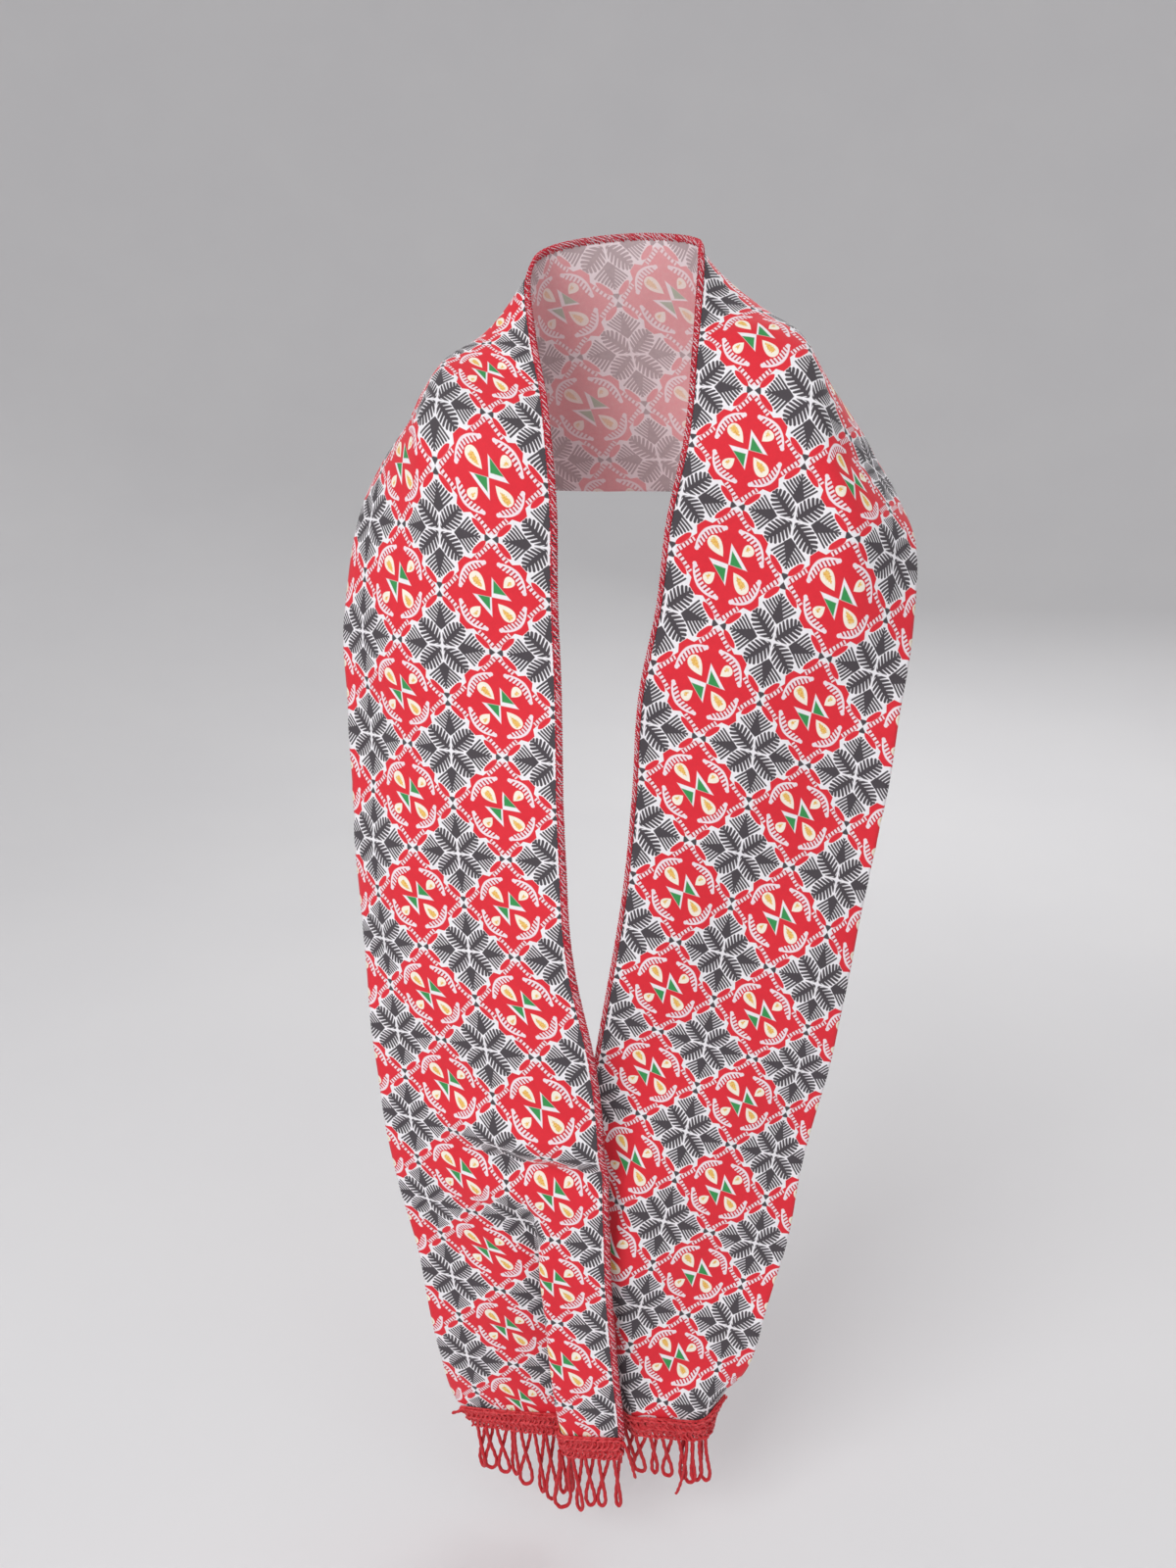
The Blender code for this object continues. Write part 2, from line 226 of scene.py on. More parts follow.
@dataclass(frozen=True)
class ClothForm:
    """The worn strip as a surface of `along` and `across`, with its folds and ripples."""

    crease_width: float = 0.015
    pleat_turns: tuple = (0.043, 0.0565)
    pleat_width: float = 0.012
    curl_at: float = 0.118
    curl_width: float = 0.016
    hem_fade: float = 0.05
    section_steps: int = 560
    travel_step: float = 0.02
    face_step: float = 0.002

    @staticmethod
    def of_stations(name: str, places: np.ndarray) -> np.ndarray:
        """One field of the stations along the strip, on a smooth cubic through them.

        Args:
            name: a field that holds a number or a point.
            places: places along the strip, in metres.

        Returns:
            The values there, one row for each place.
        """
        stations = np.array([station.along for station in STATIONS])
        values = np.array([getattr(station, name) for station in STATIONS], float)
        values = values.reshape(len(STATIONS), -1)
        slopes = np.gradient(values, stations, axis=0)
        last = len(STATIONS) - 2
        index = np.clip(np.searchsorted(stations, places, side="right") - 1, 0, last)
        span = (stations[index + 1] - stations[index])[:, None]
        t = (places - stations[index])[:, None] / span
        return (
            (2 * t**3 - 3 * t**2 + 1) * values[index]
            + (t**3 - 2 * t**2 + t) * span * slopes[index]
            + (3 * t**2 - 2 * t**3) * values[index + 1]
            + (t**3 - t**2) * span * slopes[index + 1]
        )

    @staticmethod
    def turned(across: np.ndarray, middle: Union[float, np.ndarray], width: float) -> np.ndarray:
        """The share of a fold's turn that the section has made at each place across it."""
        t = np.clip((across - middle) / width + 0.5, 0, 1)
        return t * t * (3 - 2 * t)

    def headings(self, places: np.ndarray, across: np.ndarray) -> np.ndarray:
        """The section's heading in radians: 0 outwards, and more towards the back.

        It is the sum of the even bow, the crease, the pleat's turn back and out again, and
        the curl of the outer corner, each a smooth step across the section.

        Args:
            places: places along the strip, in metres.
            across: places across it, in metres, of shape (1, number).

        Returns:
            Headings of shape (places, number).
        """
        bow, crease_at, crease, pleat, curl = (
            self.of_stations(name, places)
            for name in ("bow", "crease_at", "crease", "pleat", "curl")
        )
        back, out = (self.turned(across, at, self.pleat_width) for at in self.pleat_turns)
        return np.radians(
            bow * across / CLOTH_WIDTH
            + crease * self.turned(across, crease_at, self.crease_width)
            + np.maximum(pleat, 0) * (back - out)
            + np.maximum(curl, 0) * self.turned(across, self.curl_at, self.curl_width)
        )

    def middle_line(self, places: np.ndarray) -> np.ndarray:
        """The point halfway from the inner to the outer edge at each place."""
        places = np.clip(places, 0, CLOTH_LENGTH)
        return (self.of_stations("inner", places) + self.of_stations("outer", places)) / 2

    def plain_points(self, places: np.ndarray, across: np.ndarray) -> np.ndarray:
        """Points of the surface before its folds and ripples.

        A section is drawn by its headings, then turned and scaled so that it runs from its
        inner to its outer point.

        Args:
            places: places along the strip, in metres.
            across: places across it, in metres.

        Returns:
            Points of shape (places, across, 3).
        """
        fine = np.linspace(0, CLOTH_WIDTH, self.section_steps + 1)
        heading = self.headings(places, fine[None])
        step = CLOTH_WIDTH / self.section_steps
        level = (np.cos(heading[:, 1:]) + np.cos(heading[:, :-1])) / 2
        rise = -(np.sin(heading[:, 1:]) + np.sin(heading[:, :-1])) / 2
        start = np.zeros((len(places), 1))
        level = np.hstack([start, np.cumsum(level * step, axis=1)])
        rise = np.hstack([start, np.cumsum(rise * step, axis=1)])
        end_level, end_rise = level[:, -1:], rise[:, -1:]
        reach = end_level**2 + end_rise**2

        inner = self.of_stations("inner", places)
        chord = self.of_stations("outer", places) - inner
        length = np.linalg.norm(chord, axis=1, keepdims=True)
        ahead = self.middle_line(places + self.travel_step)
        face = unit(np.cross(ahead - self.middle_line(places - self.travel_step), chord))
        outwards = (level * end_level + rise * end_rise) / reach * length
        proud = (rise * end_level - level * end_rise) / reach * length
        points = (
            inner[:, None]
            + outwards[..., None] * (chord / length)[:, None]
            + proud[..., None] * face[:, None]
        )
        nearest = np.rint(across / step).astype(int)
        return points[:, nearest]

    def relief(self, places: np.ndarray, across: np.ndarray) -> np.ndarray:
        """How far folds and ripples stand out of the face.

        A fold is a bell along the strip times a bell across it, on a line that leans. A
        ripple is a sine of both measures. All of it fades out towards the sewn hems.

        Args:
            places: places along the strip, in metres.
            across: places across it, in metres.

        Returns:
            Metres, of shape (places, across).
        """
        u, v = places[:, None], across[None]
        height = np.zeros((len(places), len(across)))
        for fold in FOLDS:
            line = u - fold.along - fold.lean * (v - fold.across)
            bell = np.exp(-((line / fold.half) ** 2))
            height += fold.height * bell * np.exp(-(((v - fold.across) / fold.reach) ** 4))
        for wave in RIPPLES:
            turn = u / wave.along + v / wave.across + wave.phase
            height += wave.height * np.sin(2 * np.pi * turn)
        fade = np.clip(np.minimum(u, CLOTH_LENGTH - u) / self.hem_fade, 0, 1)
        return height * fade**2 * (3 - 2 * fade)

    def face_normals(self, places: np.ndarray, across: np.ndarray) -> np.ndarray:
        """Unit normals out of the printed face of the plain surface.

        Args:
            places: places along the strip, in metres.
            across: places across it, in metres.

        Returns:
            Normals of shape (places, across, 3).
        """
        ahead = self.plain_points(np.minimum(places + self.face_step, CLOTH_LENGTH), across)
        behind = self.plain_points(np.maximum(places - self.face_step, 0), across)
        beside = np.gradient(self.plain_points(places, across), axis=1)
        return unit(np.cross(ahead - behind, beside))

    def points(self, places: np.ndarray, across: np.ndarray) -> np.ndarray:
        """Points of the surface with its folds and ripples, shape (places, across, 3)."""
        lift = self.relief(places, across)[..., None]
        return self.plain_points(places, across) + self.face_normals(places, across) * lift


@dataclass(frozen=True)
class Ribbon:
    """A line on the cloth with its own directions, for stitches and trims to follow.

    Attributes:
        measure: the cloth measure along the line, rising, in metres.
        origin: points of the line, shape (n, 3).
        beside: unit directions on the cloth, away from the line.
        out: unit directions out of the printed face.
    """

    measure: np.ndarray
    origin: np.ndarray
    beside: np.ndarray
    out: np.ndarray

    def read(self, vectors: np.ndarray, measure: np.ndarray) -> np.ndarray:
        """The line's vectors at these measures, straight between its points."""
        columns = [np.interp(measure, self.measure, vectors[:, axis]) for axis in range(3)]
        return np.stack(columns, -1)

    def place(self, measure: np.ndarray, side: np.ndarray, lift: np.ndarray) -> np.ndarray:
        """Points at a measure along the line, a way to its side and a lift off the cloth.

        Args:
            measure: cloth measure along the line, any shape.
            side: metres to the side on the cloth, the same shape.
            lift: metres out of the printed face, the same shape.

        Returns:
            Points, with one more axis of length 3.
        """
        return (
            self.read(self.origin, measure)
            + self.read(self.beside, measure) * side[..., None]
            + self.out_at(measure) * lift[..., None]
        )

    def out_at(self, measure: np.ndarray) -> np.ndarray:
        """Directions out of the printed face at these measures."""
        return self.read(self.out, measure)

    def ahead_at(self, measure: np.ndarray) -> np.ndarray:
        """Directions along the line at these measures."""
        return self.read(unit(np.gradient(self.origin, axis=0)), measure)


def ribbon_along_edge(form: ClothForm, step: float = 0.0025, reach: float = 0.002) -> Ribbon:
    """The neck-side edge as a ribbon: its measure is `along`, its side goes outwards.

    Args:
        form: the cloth's form.
        step: the way from point to point, in metres.
        reach: how far out on the cloth its side directions are taken.

    Returns:
        The ribbon.
    """
    along = np.arange(0, CLOTH_LENGTH + step / 2, step)
    across = np.linspace(0, reach, 3)
    near = form.points(along, across)
    out = form.face_normals(along, across)[:, 0]
    return Ribbon(along, near[:, 0], unit(near[:, 2] - near[:, 0]), out)


def ribbon_along_hem(
    form: ClothForm, at_end: bool, count: int = 281, reach: float = 0.010
) -> Ribbon:
    """A hem as a ribbon: its measure is `across`, its side goes up the cloth.

    Args:
        form: the cloth's form.
        at_end: whether it is the hem at the strip's far end.
        count: how many points it has.
        reach: how far up the cloth its side directions are taken.

    Returns:
        The ribbon.
    """
    across = np.linspace(0, CLOTH_WIDTH, count)
    along = np.array([CLOTH_LENGTH, CLOTH_LENGTH - reach] if at_end else [0.0, reach])
    points = form.points(along, across)
    out = form.face_normals(along, across)[0]
    return Ribbon(across, points[0], unit(points[1] - points[0]), out)


# ---------------------------------------------------------------------------------------
# Meshes from arrays
# ---------------------------------------------------------------------------------------


def mesh_object(
    name: str, points: np.ndarray, quads: np.ndarray, maps: dict[str, np.ndarray]
) -> bpy.types.Object:
    """A smooth mesh object of quads, with a UV map for each entry of maps.

    Args:
        name: the piece's name.
        points: vertices, shape (n, 3).
        quads: vertex numbers, shape (m, 4), wound outwards.
        maps: for each UV map's name, its place at every vertex, shape (n, 2).

    Returns:
        The object, at the origin and linked to the scene.
    """
    mesh = bpy.data.meshes.new(name)
    mesh.vertices.add(len(points))
    mesh.vertices.foreach_set("co", points.astype(np.float32).ravel())
    mesh.loops.add(quads.size)
    mesh.loops.foreach_set("vertex_index", quads.astype(np.int32).ravel())
    mesh.polygons.add(len(quads))
    mesh.polygons.foreach_set("loop_start", np.arange(0, quads.size, 4, dtype=np.int32))
    mesh.update(calc_edges=True)
    for label, place in maps.items():
        layer = mesh.uv_layers.new(name=label)
        layer.data.foreach_set("uv", place[quads.ravel()].astype(np.float32).ravel())
    mesh.validate()
    mesh.shade_smooth()
    piece = bpy.data.objects.new(name, mesh)
    bpy.context.scene.collection.objects.link(piece)
    return piece


def walls(*corners: np.ndarray) -> np.ndarray:
    """Quads from the point numbers of their four corners, each a grid of the same shape."""
    return np.stack(corners, -1).reshape(-1, 4)


def caps(rings: np.ndarray) -> np.ndarray:
    """Quads that fill rings of points, given by their numbers, shape (rings, points)."""
    fans = [rings[:, [0, at, at + 1, at + 2]] for at in range(1, rings.shape[1] - 2, 2)]
    return np.concatenate(fans)


class Strand(NamedTuple):
    """A cord's section.

    `plies` swell its radius by a share `groove` of it, and turn once in the length `twist`.
    `sides` is how many flat sides the tube has.
    """

    radius: float
    plies: int = 2
    groove: float = 0.0
    twist: float = 0.004
    sides: int = 8


@dataclass
class CordMesh:
    """Cords gathered into one mesh, each a twisted tube along its own path.

    `tip` is the share of the radius at which a cord's rounded end is closed.
    """

    name: str
    tip: float = 0.01
    points: list[np.ndarray] = field(default_factory=list)
    quads: list[np.ndarray] = field(default_factory=list)
    maps: list[np.ndarray] = field(default_factory=list)
    count: int = 0

    def add(self, path: np.ndarray, upright: np.ndarray, strand: Strand) -> None:
        """Adds one tube for each path.

        A ring's point at angle a, a length s along the path, stands off it by
        radius * (1 + groove * cos(plies * (a - turn of the twist at s))). The rings shrink
        to a small round end over the last radius, and close there.

        Args:
            path: points of shape (paths, points, 3).
            upright: directions that are never along the path, the same shape.
            strand: the section.
        """
        step = np.linalg.norm(np.diff(path, axis=1), axis=2)
        length = np.concatenate([np.zeros((len(path), 1)), np.cumsum(step, axis=1)], axis=1)
        ahead = unit(np.gradient(path, axis=1))
        rise = unit(upright - (upright * ahead).sum(2, keepdims=True) * ahead)
        side = np.cross(ahead, rise)
        angle = np.linspace(0, 2 * np.pi, strand.sides, endpoint=False)[None, None]
        turn = 2 * np.pi * length / strand.twist
        lobes = np.cos(strand.plies * angle - turn[..., None])
        from_end = np.minimum(length, length[:, -1:] - length) / strand.radius
        ends = np.sqrt(1 - (1 - np.clip(from_end, self.tip, 1)) ** 2)
        reach = strand.radius * (1 + strand.groove * lobes) * ends[..., None]
        ring = path[:, :, None] + reach[..., None] * (
            np.cos(angle)[..., None] * rise[:, :, None]
            + np.sin(angle)[..., None] * side[:, :, None]
        )
        number = np.arange(ring[..., 0].size).reshape(ring.shape[:3]) + self.count
        onward = np.roll(number, -1, axis=2)
        tube = walls(number[:, :-1], onward[:, :-1], onward[:, 1:], number[:, 1:])
        self.quads += [tube, caps(number[:, 0])[:, ::-1], caps(number[:, -1])]
        around = np.broadcast_to(angle / (2 * np.pi), ring.shape[:3])
        lengthwise = np.broadcast_to(length[..., None], ring.shape[:3])
        self.maps.append(np.stack([around, lengthwise], -1).reshape(-1, 2))
        self.points.append(ring.reshape(-1, 3))
        self.count += ring[..., 0].size

    def finish(self) -> bpy.types.Object:
        """The mesh object of all the cords, with a UV map "strand" of turn and length."""
        points, quads, maps = map(np.concatenate, (self.points, self.quads, self.maps))
        return mesh_object(self.name, points, quads, {"strand": maps})


# ---------------------------------------------------------------------------------------
# Nodes written as arithmetic
# ---------------------------------------------------------------------------------------

Number = Union["Value", float]
Source = Union["Value", bpy.types.NodeSocket, tuple, float]

# The places of a Mix node's two colours among its inputs, and of its result.
MIX_BELOW, MIX_ABOVE, MIX_RESULT = 6, 7, 2


@dataclass(frozen=True)
class Value:
    """A number that a node puts out. Arithmetic on it adds the nodes that work it out."""

    tree: bpy.types.NodeTree
    socket: bpy.types.NodeSocket

    def math(self, operation: str, *others: Number, clamp: bool = False) -> "Value":
        """The result of a Math node on this value and the others."""
        return math_node(self.tree, operation, self, *others, clamp=clamp)

    def __add__(self, other: Number) -> "Value":
        """The sum."""
        return self.math("ADD", other)

    def __sub__(self, other: Number) -> "Value":
        """This less the other."""
        return self.math("SUBTRACT", other)

    def __rsub__(self, other: float) -> "Value":
        """The other less this."""
        return math_node(self.tree, "SUBTRACT", other, self)

    def __mul__(self, other: Number) -> "Value":
        """The product."""
        return self.math("MULTIPLY", other)

    def __truediv__(self, other: Number) -> "Value":
        """The ratio."""
        return self.math("DIVIDE", other)

    def __abs__(self) -> "Value":
        """The size without the sign."""
        return self.math("ABSOLUTE")

    __radd__ = __add__
    __rmul__ = __mul__

    def floor(self) -> "Value":
        """The whole number below."""
        return self.math("FLOOR")

    def least(self, *others: Number) -> "Value":
        """The smallest of this and the others, so where all the shapes overlap."""
        return reduce(lambda result, other: result.math("MINIMUM", other), others, self)

    def most(self, *others: Number) -> "Value":
        """The largest of this and the others, so where any of the shapes is."""
        return reduce(lambda result, other: result.math("MAXIMUM", other), others, self)

    def inside(self, softness: float) -> "Value":
        """A mask of where this is above zero, with an edge this wide."""
        return self.math("MULTIPLY_ADD", 1 / softness, 0.5, clamp=True)

    def about(self, middle: float, spread: float) -> "Value":
        """This share of 0 to 1 laid over a spread about a middle."""
        return self * spread + (middle - spread / 2)


def fill(node: bpy.types.Node, sources: dict[Union[str, int], Source]) -> None:
    """Feeds a node's inputs.

    Args:
        node: the node.
        sources: for each input's name or number, a result or a socket to link to it, or a
            plain value to set on it.
    """
    for label, source in sources.items():
        source = source.socket if isinstance(source, Value) else source
        if isinstance(source, bpy.types.NodeSocket):
            node.id_data.links.new(source, node.inputs[label])
        else:
            node.inputs[label].default_value = source


def math_node(
    tree: bpy.types.NodeTree, operation: str, *values: Number, clamp: bool = False
) -> Value:
    """Adds a Math node.

    Args:
        tree: the tree that it goes into.
        operation: the node's operation.
        values: its inputs, each a Value or a plain number.
        clamp: whether the result is kept between 0 and 1.

    Returns:
        The node's result.
    """
    node = tree.nodes.new("ShaderNodeMath")
    node.operation = operation
    node.use_clamp = clamp
    fill(node, dict(enumerate(values)))
    return Value(tree, node.outputs[0])


def split(tree: bpy.types.NodeTree, vector: bpy.types.NodeSocket) -> tuple[Value, Value]:
    """Splits a vector.

    Args:
        tree: the tree that the node goes into.
        vector: the vector's socket.

    Returns:
        Its first two numbers.
    """
    node = tree.nodes.new("ShaderNodeSeparateXYZ")
    fill(node, {0: vector})
    return Value(tree, node.outputs["X"]), Value(tree, node.outputs["Y"])


def blended(
    tree: bpy.types.NodeTree, mask: Number, below: Source, above: Source, way: str = "MIX"
) -> bpy.types.NodeSocket:
    """The colour below, with the colour above it where the mask is 1.

    Args:
        tree: the tree that the Mix node goes into.
        mask: the share of the colour above.
        below: a colour or a socket that puts one out.
        above: the same.
        way: how the two are mixed.

    Returns:
        The blended colour's socket.
    """
    node = tree.nodes.new("ShaderNodeMix")
    node.data_type = "RGBA"
    node.blend_type = way
    fill(node, {"Factor": mask, MIX_BELOW: below, MIX_ABOVE: above})
    return node.outputs[MIX_RESULT]


def shaded(tree: bpy.types.NodeTree, colour: Source, shade: Source) -> bpy.types.NodeSocket:
    """A colour darkened by a shade that varies over the surface."""
    return blended(tree, 1.0, colour, shade, "MULTIPLY")


def noise(
    tree: bpy.types.NodeTree, place: bpy.types.NodeSocket, scale: float, detail: float = 2.0
) -> Value:
    """Adds soft noise.

    Args:
        tree: the tree that it goes into.
        place: the place that it is read at.
        scale: its cells to each unit of the place.
        detail: how many times it is laid over itself at half the size.

    Returns:
        The noise, from 0 to 1.
    """
    node = tree.nodes.new("ShaderNodeTexNoise")
    fill(node, {"Scale": scale, "Detail": detail, "Vector": place})
    return Value(tree, node.outputs[0])


def uv_place(tree: bpy.types.NodeTree, label: str) -> bpy.types.NodeSocket:
    """The place on one of the piece's own UV maps.

    Args:
        tree: the tree that the node goes into.
        label: the map's name.

    Returns:
        The place's socket.
    """
    node = tree.nodes.new("ShaderNodeUVMap")
    node.uv_map = label
    return node.outputs["UV"]


def object_place(tree: bpy.types.NodeTree) -> bpy.types.NodeSocket:
    """The place on the piece, in metres."""
    return tree.nodes.new("ShaderNodeTexCoord").outputs["Object"]


class Socket(Enum):
    """The kinds of socket on a node group."""

    NUMBER = "NodeSocketFloat"
    COLOUR = "NodeSocketColor"
    PLACE = "NodeSocketVector"


@dataclass
class EffectGroup:
    """A node group with named inputs and outputs, built once and placed in materials."""

    name: str
    takes: dict[str, Socket]
    gives: dict[str, Socket]

    def __post_init__(self) -> None:
        """Makes the empty group with its sockets."""
        self.tree = bpy.data.node_groups.new(self.name, "ShaderNodeTree")
        for way, sockets in (("INPUT", self.takes), ("OUTPUT", self.gives)):
            for label, kind in sockets.items():
                self.tree.interface.new_socket(label, in_out=way, socket_type=kind.value)
        self.entry = self.tree.nodes.new("NodeGroupInput")
        self.exit = self.tree.nodes.new("NodeGroupOutput")

    def taken(self, label: str) -> Value:
        """The number that comes in at an input."""
        return Value(self.tree, self.entry.outputs[label])

    def give(self, label: str, result: Source) -> None:
        """Feeds an output."""
        fill(self.exit, {label: result})

    def place_in(
        self, tree: bpy.types.NodeTree, values: dict[str, Source]
    ) -> bpy.types.NodeOutputs:
        """Places the group in a material's tree, with its own values.

        Args:
            tree: the material's tree.
            values: for each input's name, a socket to link or a plain value.

        Returns:
            The group node's outputs.
        """
        node = tree.nodes.new("ShaderNodeGroup")
        node.node_tree = self.tree
        fill(node, values)
        return node.outputs


# ---------------------------------------------------------------------------------------
# The print
# ---------------------------------------------------------------------------------------


@dataclass(frozen=True)
class Lattice:
    """The print's lattice on the cloth: white and red diamonds, set point to point.

    A white diamond's middle lies at whole numbers of both lattice measures, and a red one's
    half a step from it each way along both.
    """

    across_start: float = 0.0625
    across_pitch: float = 0.0585
    along_start: float = 0.441
    along_pitch: float = 0.057
    lean: float = 0.23
    eased: tuple = ((0.335, 0.09, 0.15), (1.12, 0.10, 0.07))

    def measures(self, along: np.ndarray, across: np.ndarray) -> np.ndarray:
        """The two lattice measures of places on the cloth.

        They count pitches across and along, and the second leans with the first, because
        the strip was cut a little askew to the print. The worn cloth's pull eases the lean
        in two stretches, each given by its middle, its reach and how much it eases.

        Args:
            along: places along the strip, in metres.
            across: places across it, of the same shape.

        Returns:
            The measures, as one more axis of length 2.
        """
        x = (across - self.across_start) / self.across_pitch
        lean = self.lean
        for middle, reach, fall in self.eased:
            lean = lean - fall * np.exp(-(((along - middle) / reach) ** 2))
        shift = lean * (across - self.across_start)
        y = (along - self.along_start - shift) / self.along_pitch
        return np.stack([x, y], -1)


@dataclass(frozen=True)
class PrintInks:
    """The print's colours."""

    red: tuple = linear(226, 38, 54)
    deep_red: tuple = linear(200, 28, 48)
    white: tuple = linear(243, 240, 244)
    pink_white: tuple = linear(246, 229, 235)
    charcoal: tuple = linear(74, 68, 73)
    green: tuple = linear(54, 148, 80)
    gold: tuple = linear(244, 204, 112)
    amber: tuple = linear(226, 158, 66)
    cream: tuple = linear(251, 243, 226)


def off_stripe(count: Value) -> Value:
    """How far a place is from the middle of its stripe, as a share of the spacing."""
    return abs(count - count.floor() - 0.5)


@dataclass(frozen=True)
class Petal:
    """A feathered petal on the white diamond's diagonal: a vein, and barbs off it.

    With e along the vein and f away from it, barbs are stripes of a constant
    e - slope * f, and the slope grows past where they bend. The outline is half an ellipse.
    """

    spacing: float = 0.037
    slope: float = 0.42
    bend_from: float = 0.16
    bend: float = 24.0
    barb_half: float = 0.440
    barb_taper: float = 1.7
    barb_round: float = 0.10
    middle: float = 0.165
    half_length: float = 0.140
    half_width: float = 0.097
    off_axis: float = 0.010
    vein_middle: float = 0.150
    vein_half_length: float = 0.145
    vein_swell: float = 0.019
    vein_half: float = 0.004
    vein_ends: tuple = (0.024, 0.288)

    def inset(self, x: Value, y: Value) -> Value:
        """How far a place lies inside the petal.

        Args:
            x: how far the place is from the diamond's middle along one axis.
            y: how far it is along the other.

        Returns:
            The way in from the petal's edge, below zero outside it.
        """
        root_half = 0.5**0.5
        e = (x + y) * root_half
        f = abs(x - y) * root_half
        bend = (e - self.bend_from).most(0.0)
        off = off_stripe((e - f * (bend * bend * self.bend + self.slope)) / self.spacing)
        swell = (e - self.middle) / self.half_length
        outline = (1 - swell * swell).most(0.0).math("SQRT") * self.half_width
        barb = ((self.barb_half - off - f * self.barb_taper) * self.spacing).least(
            outline - off * off * self.barb_round - f, x.least(y) - self.off_axis
        )
        swell = (e - self.vein_middle) / self.vein_half_length
        vein = (1 - swell * swell) * self.vein_swell + self.vein_half - f
        start, end = self.vein_ends
        return barb.most(vein.least(e - start, end - e))


@dataclass(frozen=True)
class Fan:
    """A fan on the white diamond's axis: a solid core, and strokes that spread from it.

    With p along the axis and r away from it, strokes are stripes of a constant
    p - slope * r, and the slope grows past where they bend. A small bit caps the tip.
    """

    spacing: float = 0.037
    slope: float = 0.85
    bend_from: float = 0.27
    bend: float = 26.0
    root: float = 0.146
    stroke_half: float = 0.395
    stroke_taper: float = 0.8
    stroke_round: float = 0.12
    tip: float = 0.410
    tip_slope: float = 0.755
    core_flare: float = 1.15
    core_half: float = 0.053
    core_narrows_from: float = 0.20
    core_narrows: float = 0.30
    core_least: float = 0.006
    core_ends: tuple = (0.149, 0.398)
    bit_ends: tuple = (0.437, 0.495)
    bit_slope: float = 0.72

    def inset(self, x: Value, y: Value) -> Value:
        """How far a place lies inside the fan.

        Args:
            x: how far the place is from the diamond's middle along one axis.
            y: how far it is along the other.

        Returns:
            The way in from the fan's edge, below zero outside it.
        """
        p, r = x.most(y), x.least(y)
        bend = (p - self.bend_from).most(0.0)
        level = p - r * (bend * bend * self.bend + self.slope) - self.root
        off = off_stripe(level / self.spacing)
        stroke = ((self.stroke_half - off - r * self.stroke_taper) * self.spacing).least(
            self.tip - off * off * self.stroke_round - p - r * self.tip_slope, level
        )
        narrowed = self.core_half - (p - self.core_narrows_from) * self.core_narrows
        core = ((p - self.root) * self.core_flare).least(narrowed).most(self.core_least) - r
        start, end = self.core_ends
        core = core.least(p - start, end - p)
        start, end = self.bit_ends
        return stroke.most(core, (p - start).least((end - p) * self.bit_slope - r))


@dataclass(frozen=True)
class SideReds:
    """The red lens and the red triangle that lie across a side between two diamonds.

    The lens is thickest at its middle and thins with the fourth power of the way from it.
    The triangle has straight flanks and a hollow base.
    """

    lens_middle: float = 0.298
    lens_half: float = 0.125
    lens_swell: float = 0.036
    lens_out: float = 0.026
    triangle_tip: float = 0.070
    triangle_flare: float = 0.712
    triangle_half: float = 0.062
    base_hollow: float = 2.1
    base: float = 0.010

    def inset(self, n: Value, sigma: Value) -> Value:
        """How far a place lies inside them.

        Args:
            n: how far the place is into the red diamond, or out of it below zero.
            sigma: how far it is from the middle of the side.

        Returns:
            The way in from their edge, below zero outside them.
        """
        swell = (sigma - self.lens_middle) / self.lens_half
        lens = (1 - swell * swell * swell * swell) * self.lens_swell - abs(n + self.lens_out)
        flank = (n + self.triangle_tip) * self.triangle_flare + self.triangle_half - sigma
        hollow = sigma * sigma * self.base_hollow + self.base - n
        return lens.most(flank.least(hollow, n + self.triangle_tip))


@dataclass(frozen=True)
class SideWhites:
    """The toothed crescent and the row of beads along a red diamond's side.

    Beads are stripes across a straight row. The crescent's line rises with the square of
    the way from the side's middle, with a plain band on it, teeth above it, which are
    stripes too, and a blob at its end.
    """

    bead_spacing: float = 0.053
    bead_half: float = 0.290
    row_ends: tuple = (0.016, 0.067, 0.180, 0.450)
    tooth_spacing: float = 0.048
    tooth_half: float = 0.270
    tooth_round: float = 0.1
    line_bow: float = 2.0
    line: float = 0.042
    teeth_slope: float = 0.35
    teeth_top: float = 0.106
    teeth_highest: float = 0.164
    teeth_end: float = 0.240
    band_sides: tuple = (0.028, 0.004)
    band_end: float = 0.243
    blob_at: tuple = (0.224, 0.143)
    blob_radius: float = 0.027

    def inset(self, n: Value, sigma: Value) -> tuple[Value, Value]:
        """How far a place lies inside the white shapes, and inside the ground round them.

        Args:
            n: how far the place is into the red diamond.
            sigma: how far it is from the middle of the side.

        Returns:
            The way in from the edge of each, below zero outside.
        """
        low, high, start, end = self.row_ends
        row = (n - low).least(high - n, sigma - start, end - sigma)
        off = off_stripe(sigma / self.bead_spacing)
        bead = row.least((self.bead_half - off) * self.bead_spacing)
        off = off_stripe(sigma / self.tooth_spacing + 0.5)
        line = sigma * sigma * self.line_bow + self.line
        top = (sigma * self.teeth_slope + self.teeth_top).least(self.teeth_highest)
        comb = (n - line).least(top - off * off * self.tooth_round - n, self.teeth_end - sigma)
        tooth = comb.least((self.tooth_half - off) * self.tooth_spacing)
        below, above = self.band_sides
        band = (n - line + below).least(line + above - n, self.band_end - sigma)
        aside, over = sigma - self.blob_at[0], n - self.blob_at[1]
        blob = self.blob_radius - (aside * aside + over * over).math("SQRT")
        return bead.most(tooth, band, blob), row.most(comb)


class Triangle(NamedTuple):
    """A green triangle with a corner in the middle of the red diamond and a white margin.

    `margins` are the margin's widths on its outer side and on those that close and open it.
    """

    near_tip: tuple
    far_tip: tuple
    margins: tuple


